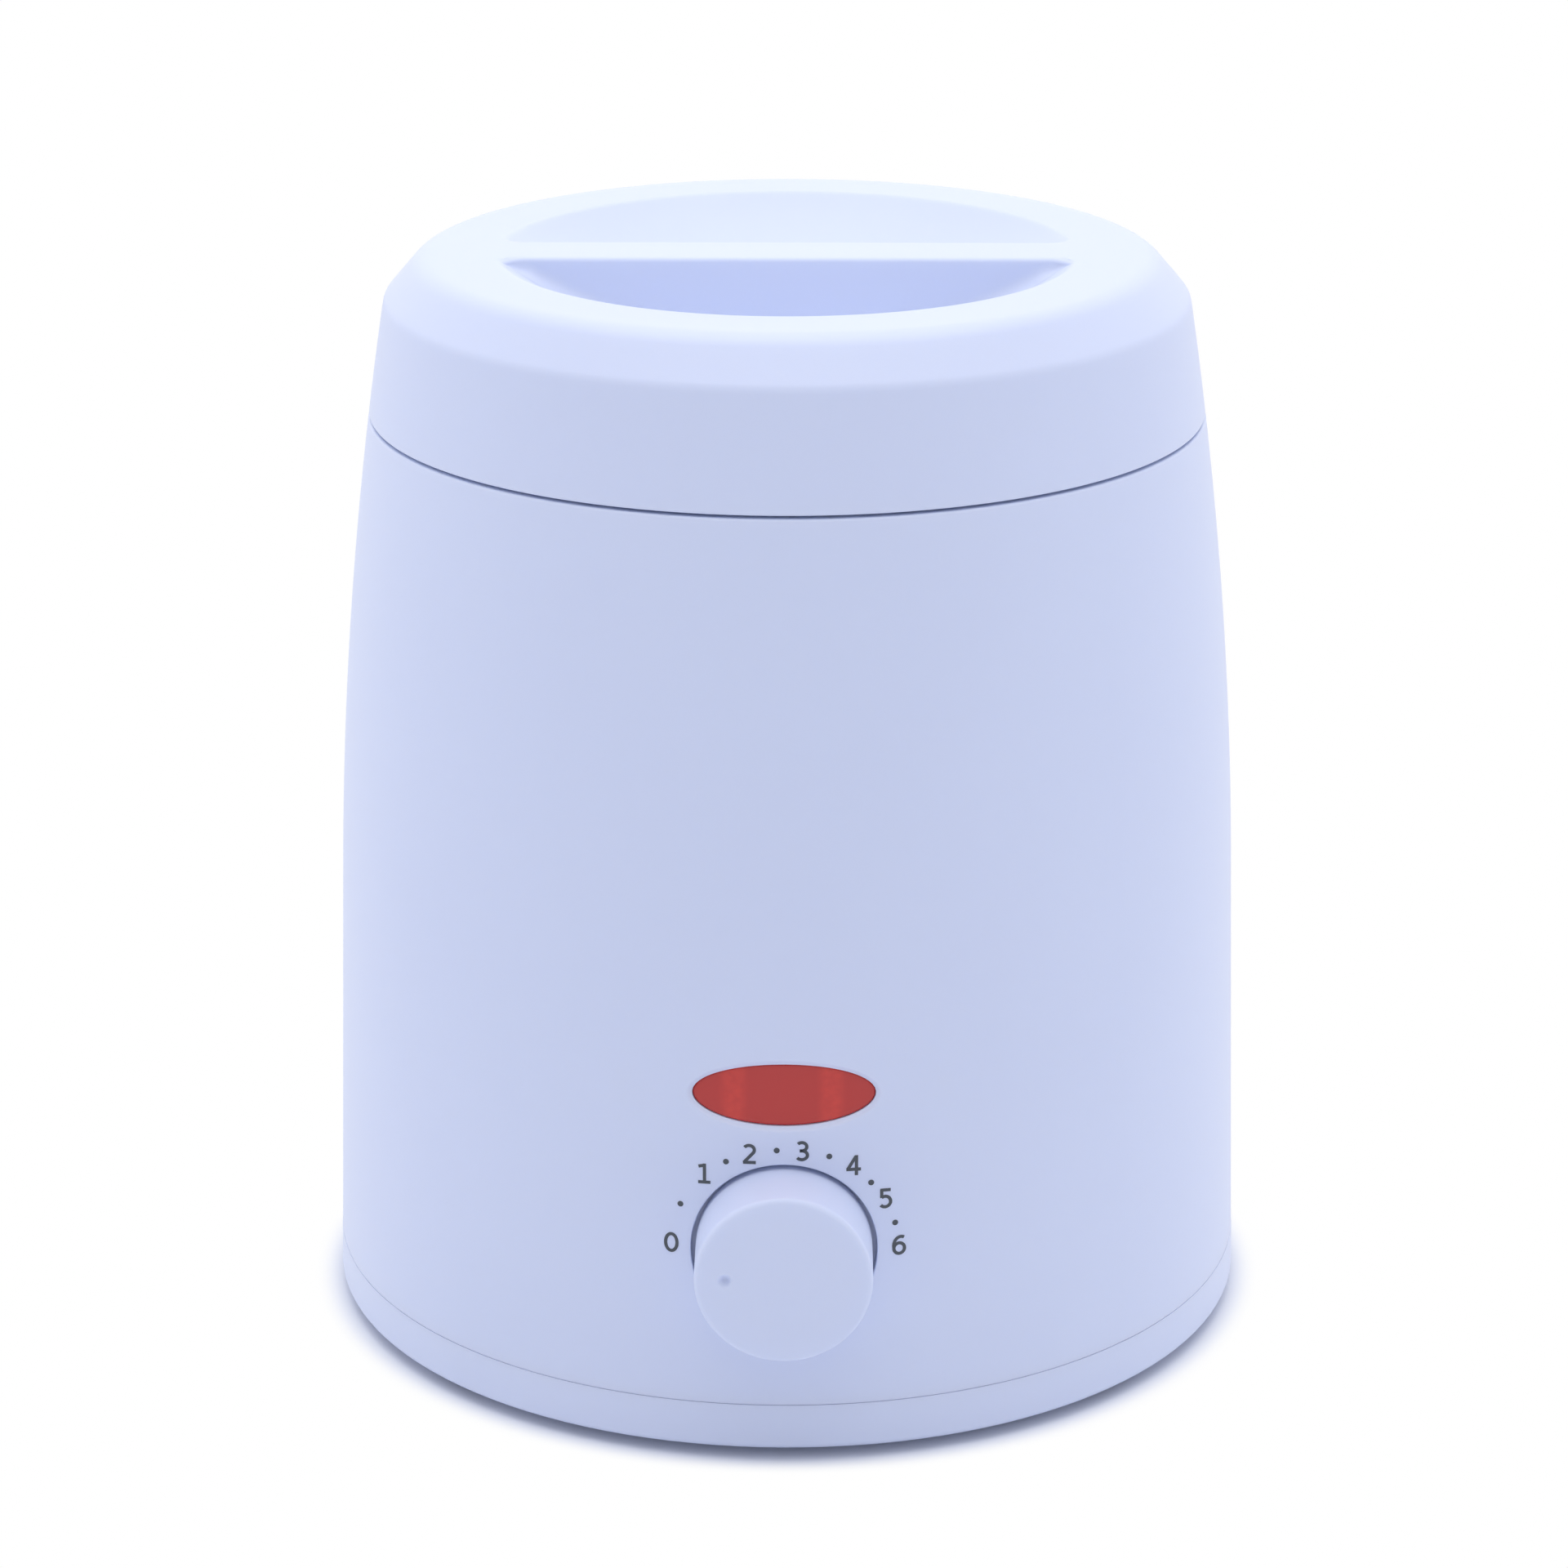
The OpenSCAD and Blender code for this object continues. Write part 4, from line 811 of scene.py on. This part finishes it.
def lidUnderside(surface, front, meet):
    # dish seen from below and the slot in the bar: front holds the lathe's directions along the front half
    top, wall = lidSize["top"], lidSize["wall"]
    roof = top - wall
    slotX, slotY = dishRim - wall, lidSize["halfBar"] - wall

    def under(p):
        # points on the dish's ball, a wall larger
        rho2 = (p ** 2).sum(axis=-1, keepdims=True)
        z = top - lidSize["depth"] + dishBall - np.sqrt((dishBall + wall) ** 2 - rho2)
        return np.concatenate([p, z], axis=-1)

    skip = 2    # columns each way that face an end of the slot
    arc = meet * front[skip:-skip]
    chord = np.stack([slotX * arc[:, 0] / arc[0, 0], -slotY + 0 * arc[:, 0]], axis=-1)
    flip = np.array([1, -1])
    shares = np.linspace(0, 1, 14)[:, None, None]
    half = under(arc + (chord - arc) * shares)
    surface.sheet(half)
    surface.sheet(half * [1, -1, 1])
    for side in (-1, 1):
        tip = meet * np.concatenate([front[skip:0:-1] * flip, front[:skip + 1]])
        end = np.stack([slotX + 0 * tip[:, 0], -slotY * np.linspace(-1, 1, len(tip))], axis=-1)
        surface.sheet(under(tip + (end - tip) * shares) * [side, 1, 1])
    ends = end[1:-1]
    loop = np.concatenate([chord, (ends * [-1, 1])[::-1], (chord * flip)[::-1], ends])
    low = under(loop)
    high = np.concatenate([loop, roof + 0 * loop[:, :1]], axis=1)
    surface.sheet(np.stack([low, high]), around=True)
    across = np.linspace(1, -1, len(ends) + 2)[:, None]
    surface.sheet(np.stack([chord[None, :, 0] + 0 * across, -slotY * across + 0 * chord[None, :, 0],
                            roof + 0 * across + 0 * chord[None, :, 0]], axis=-1))


def makeLid():
    # turned skirt, side, shoulder and flat ring, then the two halves of the recess and the underside
    rows, starts = recessRows()
    onCircle = np.linalg.norm(starts, axis=1) > lidSize["patchRadius"] - 1e-6
    front = starts[onCircle] / lidSize["patchRadius"]
    around = np.concatenate([front, (front * [1, -1])[-2:0:-1]])
    wall, top, low = lidSize["wall"], lidSize["top"], lidSize["sideLow"]
    lowEdge, topEdge = lidSize["shoulderEdges"]
    meet = math.sqrt((dishBall + wall) ** 2 - (dishBall - lidSize["depth"] + wall) ** 2)
    sideZ = np.linspace(shoulderZ - 3, low + 1, 5)
    skirtOut, skirtLow, skirtEdge = lidSize["skirtOut"], lidSize["skirtLow"], lidSize["skirtEdge"]
    outside = [(lidSize["patchRadius"], top, 0), (ringRadius, top, topEdge),
               (bodyRadius(shoulderZ), shoulderZ, lowEdge)]
    outside += [(bodyRadius(z), z, 0) for z in sideZ]
    skirt = [(bodyRadius(low), low, smallEdge), (skirtOut, low, 0), (skirtOut, skirtLow, skirtEdge),
             (skirtOut - wall, skirtLow, skirtEdge), (skirtOut - wall, low + 2, 2 * skirtEdge)]
    inside = [(bodyRadius(shoulderZ) - 1.1 * wall, shoulderZ - 0.4 * wall, 1.5),
              (ringRadius - 0.45 * wall, top - wall, 1.0), (meet, top - wall, 0)]
    profile = softOutline(outside + skirt + inside, closed=False, steps=9)
    heights = profile[:, None, 1:] + 0 * around[None, :, :1]
    surface = Surface()
    surface.sheet(np.concatenate([profile[:, None, :1] * around[None], heights], axis=-1), around=True)
    surface.sheet(rows, around=True)
    surface.sheet(rows * [1, -1, 1], around=True)
    lidUnderside(surface, front, meet)
    return surface.build("lid_moulding", finishes["lid_abs"], "lid", ["lid"])


makeLid()

knobLow, knobHigh = nodeBox("knob")
knobSize = {
    "radius": knobHigh[0],
    "face": knobLow[1],
    "length": knobHigh[1] - knobLow[1],
    "edge": 0.75,
    "wall": 1.8,
    "boss": 5.0,
    "bore": 3.05,
    "mark": (-7.65, 1.1, 0.8),     # the pointer's dimple: place, radius and depth
    "markStep": 0.1,               # distance of the rings there
    "rim": 2.4,                    # plain ring of the face next to its edge
}


def makeKnob():
    # face with the pointer's dimple, soft front edge, straight side and a hollow back with the shaft's boss
    radius, length, wall = knobSize["radius"], knobSize["length"], knobSize["wall"]
    boss, bore = knobSize["boss"], knobSize["bore"]
    outline = softOutline([(radius - knobSize["rim"], 0, 0), (radius, 0, knobSize["edge"]),
                           (radius, length, smallEdge), (radius - wall, length, smallEdge),
                           (radius - wall, wall, 2 * smallEdge), (boss, wall, 0.5), (boss, length, smallEdge),
                           (bore, length, 0.2), (bore, wall + 0.2, 0), (0, wall + 0.2, 0)],
                          closed=False, steps=8)
    x, half, depth = knobSize["mark"]
    near, far, step = abs(x) - half, abs(x) + half, knobSize["markStep"]
    flat = np.concatenate([np.linspace(0, near - step, 8), np.arange(near, far, step)])
    profile = np.concatenate([np.stack([flat, 0 * flat], axis=-1), outline])
    grid = turnedBack(profile, fullTurn(360), (0, knobSize["face"], pocket["centre"][1]))
    face = grid[:len(flat)]
    away = np.hypot(face[..., 0] - x, face[..., 2] - pocket["centre"][1])
    # dimple: the square of an upturned parabola, flat at its edge
    face[..., 1] += depth * np.maximum(0, 1 - (away / half) ** 2) ** 2
    surface = Surface()
    surface.sheet(grid, around=True)
    return surface.build("knob_moulding", finishes["knob_abs"], "knob", ["knob"])


makeKnob()

lensSize = {"inset": 0.5, "gap": 0.04, "soft": 0.35, "flange": 2.5, "thick": 1.5}


def makeWindow():
    # oval lens whose front follows the wall, with soft edges, a flange behind the wall and a hollow back
    turn = fullTurn(160)
    gap, soft, thick = lensSize["gap"], lensSize["soft"], lensSize["thick"]
    behind = housing["wall"] + 0.1
    halfX, halfZ = window["half"]
    rows = []

    def ring(grow, depth, share=1.0):
        x = (halfX + grow) * share * np.cos(turn)
        z = window["centre"][1] + (halfZ + grow) * share * np.sin(turn)
        rows.append(np.stack([x, skinDepth(-1, depth)(x, z), z], axis=-1))

    for share in np.linspace(0, 1, 16):
        ring(-gap - soft, lensSize["inset"], share)
    for q in quarter(6):
        ring(-gap - soft * (1 - math.sin(q)), lensSize["inset"] + soft * (1 - math.cos(q)))
    for grow, depth in ((-gap, behind), (lensSize["flange"], behind), (lensSize["flange"], behind + thick),
                        (-gap - thick, behind + thick), (-gap - thick, lensSize["inset"] + thick)):
        ring(grow, depth)
    for share in np.linspace(1, 0, 5)[1:]:
        ring(-gap - thick, lensSize["inset"] + thick, share)
    surface = Surface()
    surface.sheet(np.stack(rows), around=True)
    return surface.build("window_moulding", finishes["lens_red"], "housing", ["indicator_lens"])


makeWindow()

dial = {
    "height": 2.8,          # of a figure
    "weight": 0.155,        # of its strokes, as a share of the height
    "dot": 0.39,            # radius
    "proud": 0.03,
    "places": [             # x and height from the knob's axis
        ("0", -14.86, 0.65), (".", -13.61, 6.22), ("1", -10.5, 10.75), (".", -7.59, 12.62),
        ("2", -4.52, 13.83), (".", -0.95, 14.38), ("3", 2.39, 14.29), (".", 5.92, 13.46),
        ("4", 9.14, 12.06), (".", 11.42, 9.49), ("5", 13.35, 7.09), (".", 14.62, 3.55), ("6", 15.15, 0.3),
    ],
}
# a figure 1 high is a few strokes; a stroke is a row of points and arcs,
# and an arc is (middle x, y, half width, half height, from and to degrees)
figures = {
    "0": [[(0, 0, 0.27, 0.425, 0, 360)]],
    "1": [[(-0.25, 0.36), (0.06, 0.42)], [(0.03, 0.5), (0.03, -0.5)], [(-0.27, -0.425), (0.31, -0.425)]],
    "2": [[(-0.02, 0.195, 0.25, 0.23, 145, -42), (-0.26, -0.425)], [(-0.3, -0.425), (0.3, -0.425)]],
    "3": [[(-0.02, 0.218, 0.23, 0.207, 140, -90), (-0.12, 0.011)],
          [(-0.12, 0.011), (-0.02, -0.207, 0.26, 0.218, 90, -145)]],
    "4": [[(0.12, 0.5), (0.12, -0.5)], [(-0.35, -0.2), (0.33, -0.2)], [(-0.29, -0.2), (0.09, 0.44)]],
    "5": [[(-0.26, 0.425), (0.23, 0.425)], [(-0.19, 0.45), (-0.19, 0.03)],
          [(-0.19, 0.05), (-0.03, -0.16, 0.26, 0.265, 110, -140)]],
    "6": [[(0.01, -0.16, 0.25, 0.265, 0, 360)], [(0.09, -0.03, 0.34, 0.455, 65, 190)]],
}


def strokePath(stroke):
    # points along a stroke, about every 9 degrees of an arc
    path = []
    for part in stroke:
        if len(part) == 2:
            path.append(part)
            continue
        x, y, halfX, halfY, start, end = part
        turn = np.radians(np.linspace(start, end, 3 + round(abs(end - start) / 9)))
        path += list(zip(x + halfX * np.cos(turn), y + halfY * np.sin(turn)))
    return np.array(path, float)


def strokeBand(path, half):
    # a closed strip along the path: rows of four corners (x, y, face of the film)
    ahead = np.gradient(path, axis=0)
    if np.allclose(path[0], path[-1]):
        ahead[[0, -1]] = path[1] - path[-2]
    ahead /= np.linalg.norm(ahead, axis=1, keepdims=True)
    beside = half * np.stack([-ahead[:, 1], ahead[:, 0]], axis=-1)
    corners = [(path + side * beside, face) for side, face in ((1, 1), (1, -1), (-1, -1), (-1, 1))]
    rows = np.stack([np.concatenate([p, face + 0 * p[:, :1]], axis=1) for p, face in corners], axis=1)
    if np.allclose(path[0], path[-1]):
        return rows
    caps = [np.broadcast_to([*path[i], 0], (1, 4, 3)) for i in (0, -1)]
    return np.concatenate([caps[0], rows, caps[1]])


def dotBand(radius):
    # a round dot: rows of a ring between its two middles
    turn = fullTurn(24)
    rows = [(0, 1), (radius, 1), (radius, -1), (0, -1)]
    return np.stack([np.stack([r * np.cos(turn), r * np.sin(turn), h + 0 * turn], axis=-1) for r, h in rows])


def makeDial():
    # printed figures and dots round the knob, laid on the wall as a thin film
    surface = Surface()
    for mark, x, z in dial["places"]:
        if mark == ".":
            bands = [dotBand(dial["dot"])]
        else:
            paths = [strokePath(stroke) * dial["height"] for stroke in figures[mark]]
            bands = [strokeBand(path, dial["height"] * dial["weight"] / 2) for path in paths]
        for band in bands:
            u, v = x + band[..., 0], pocket["centre"][1] + z + band[..., 1]
            surface.sheet(np.stack([u, skinDepth(-1, 0)(u, v) - band[..., 2] * dial["proud"], v], axis=-1),
                          around=True)
    return surface.build("dial_marks", printInk, "housing")


makeDial()


potSize = {"wall": 1.2, "bead": 1.5, "beadHeight": 1.4, "foot": 4.0, "footInside": 2.8}


def makePot():
    # spun cup with rounded foot and rolled rim
    low, high = nodeBox("wax_pot")
    rim, wall = high[0], potSize["wall"]
    outer = rim - potSize["bead"]
    inner, beadLow = outer - wall, high[2] - potSize["beadHeight"]
    profile = softOutline([(0, low[2], 0), (outer, low[2], potSize["foot"]), (outer, beadLow, 0.2),
                           (rim, beadLow, 0.5), (rim, high[2], 0.6), (inner, high[2], 0.4),
                           (inner, low[2] + wall, potSize["footInside"]), (0, low[2] + wall, 0)],
                          closed=False, steps=8)
    surface = Surface()
    surface.sheet(turned(profile, fullTurn(240)), around=True)
    return surface.build("pot_spinning", finishes["pot_aluminium"], "pot", ["wax_pot"])


makePot()

bail = {"wire": 1.2, "bend": 2.0, "tip": 40.2, "tipEdge": 0.25}


def makeBail():
    # one bent wire: half a circle behind the pot, and two short ends that turn in to the ears
    low, high = nodeBox("bail_handle")
    wire, bend = bail["wire"], bail["bend"]
    radius, z = high[0] - wire, (low[2] + high[2]) / 2
    first = math.asin(bend / radius)
    turn = np.linspace(-math.pi / 2, 0, 9)[:-1]
    hook = np.stack([radius - bend + bend * np.cos(turn), bend + bend * np.sin(turn)], axis=-1)
    hoop = np.linspace(first, math.pi - first, 181)
    right = np.concatenate([[[bail["tip"], 0], [bail["tip"] + 0.3, 0]], hook])
    path = np.concatenate([right, radius * facing(hoop), right[::-1] * [-1, 1]])
    ahead = np.gradient(path, axis=0)
    ahead /= np.linalg.norm(ahead, axis=1, keepdims=True)
    beside = np.stack([ahead[:, 1], -ahead[:, 0]], axis=-1)
    thick = np.full(len(path), wire)
    thick[[0, -1]] = wire - bail["tipEdge"]
    q = fullTurn(24)
    flat = path[:, None] + beside[:, None] * (thick[:, None] * np.cos(q))[..., None]
    rows = np.concatenate([flat, (z + thick[:, None] * np.sin(q))[..., None]], axis=-1)
    caps = [np.broadcast_to([*path[i], z], (1, len(q), 3)) for i in (0, -1)]
    surface = Surface()
    surface.sheet(np.concatenate([caps[0], rows, caps[1]]), around=True)
    return surface.build("bail_wire", finishes["bail_wire"], "bail", ["bail_handle"])


makeBail()

dome = {"ribs": 20, "rib": 0.35, "round": 1.8, "bore": 3.3, "threadBore": 6.05, "lip": 1.5}


def makeDomeNut():
    # gland's clamping nut: ribbed side for the fingers, rounded end round the cord's hole
    low, high = nodeBox("gland_dome_nut")
    radius, length = high[0], high[1] - low[1]
    bore = dome["threadBore"]
    profile = closed(softOutline([(bore, 0, 0), (radius, 0, 0.3), (radius, length, dome["round"]),
                                  (dome["bore"], length, 0.4), (dome["bore"], length - dome["lip"], 0),
                                  (bore, length - dome["lip"], 0)], steps=7))
    turn = fullTurn(dome["ribs"] * 16)
    grid = turnedBack(profile, turn, (0, low[1], inlet["centre"][1]))
    # ribs: the side's radius swings between its full size and a rib's depth less, fading over the round end
    swing = dome["rib"] * (0.5 - 0.5 * np.cos(dome["ribs"] * turn)) ** 2
    share = np.clip((profile[:, 0] - radius + dome["round"]) / dome["round"], 0, 1)[:, None] ** 2
    away = grid - [0, 0, inlet["centre"][1]]
    scale = 1 - swing * share / np.maximum(profile[:, :1], 1)
    grid[..., 0] = away[..., 0] * scale
    grid[..., 2] = inlet["centre"][1] + away[..., 2] * scale
    surface = Surface()
    surface.sheet(grid, around=True)
    return surface.build("dome_nut", finishes["nylon"], "housing", ["gland_dome_nut"])


makeDomeNut()

slotOf = {row["node"]: row["material_slot"] for row in frame["record"]["subparts"]}
bodyOf = {node: body for body, members in frame["record"]["behaviour"]["bodies"].items() for node in members}


def smoothCopy(name):
    # the solid's own mesh, welded, with its round faces shaded smooth
    mesh = nodes[name].data.copy()
    finishMesh(mesh, merge=1e-6, sharp=30)
    return place(name + "_smooth", mesh, finishes[slotOf[name]], bodyOf[name], [name])


for name in ("base_cover", "rubber_feet", "base_screws", "pot_ears", "top_deck", "heating_well",
             "well_gasket", "well_screws", "thermostat_shaft", "thermostat_screws", "cord_gland",
             "gland_lock_nut"):
    smoothCopy(name)

for name, node in nodes.items():
    node.data.materials.clear()
    node.data.materials.append(finishes[slotOf[name]])
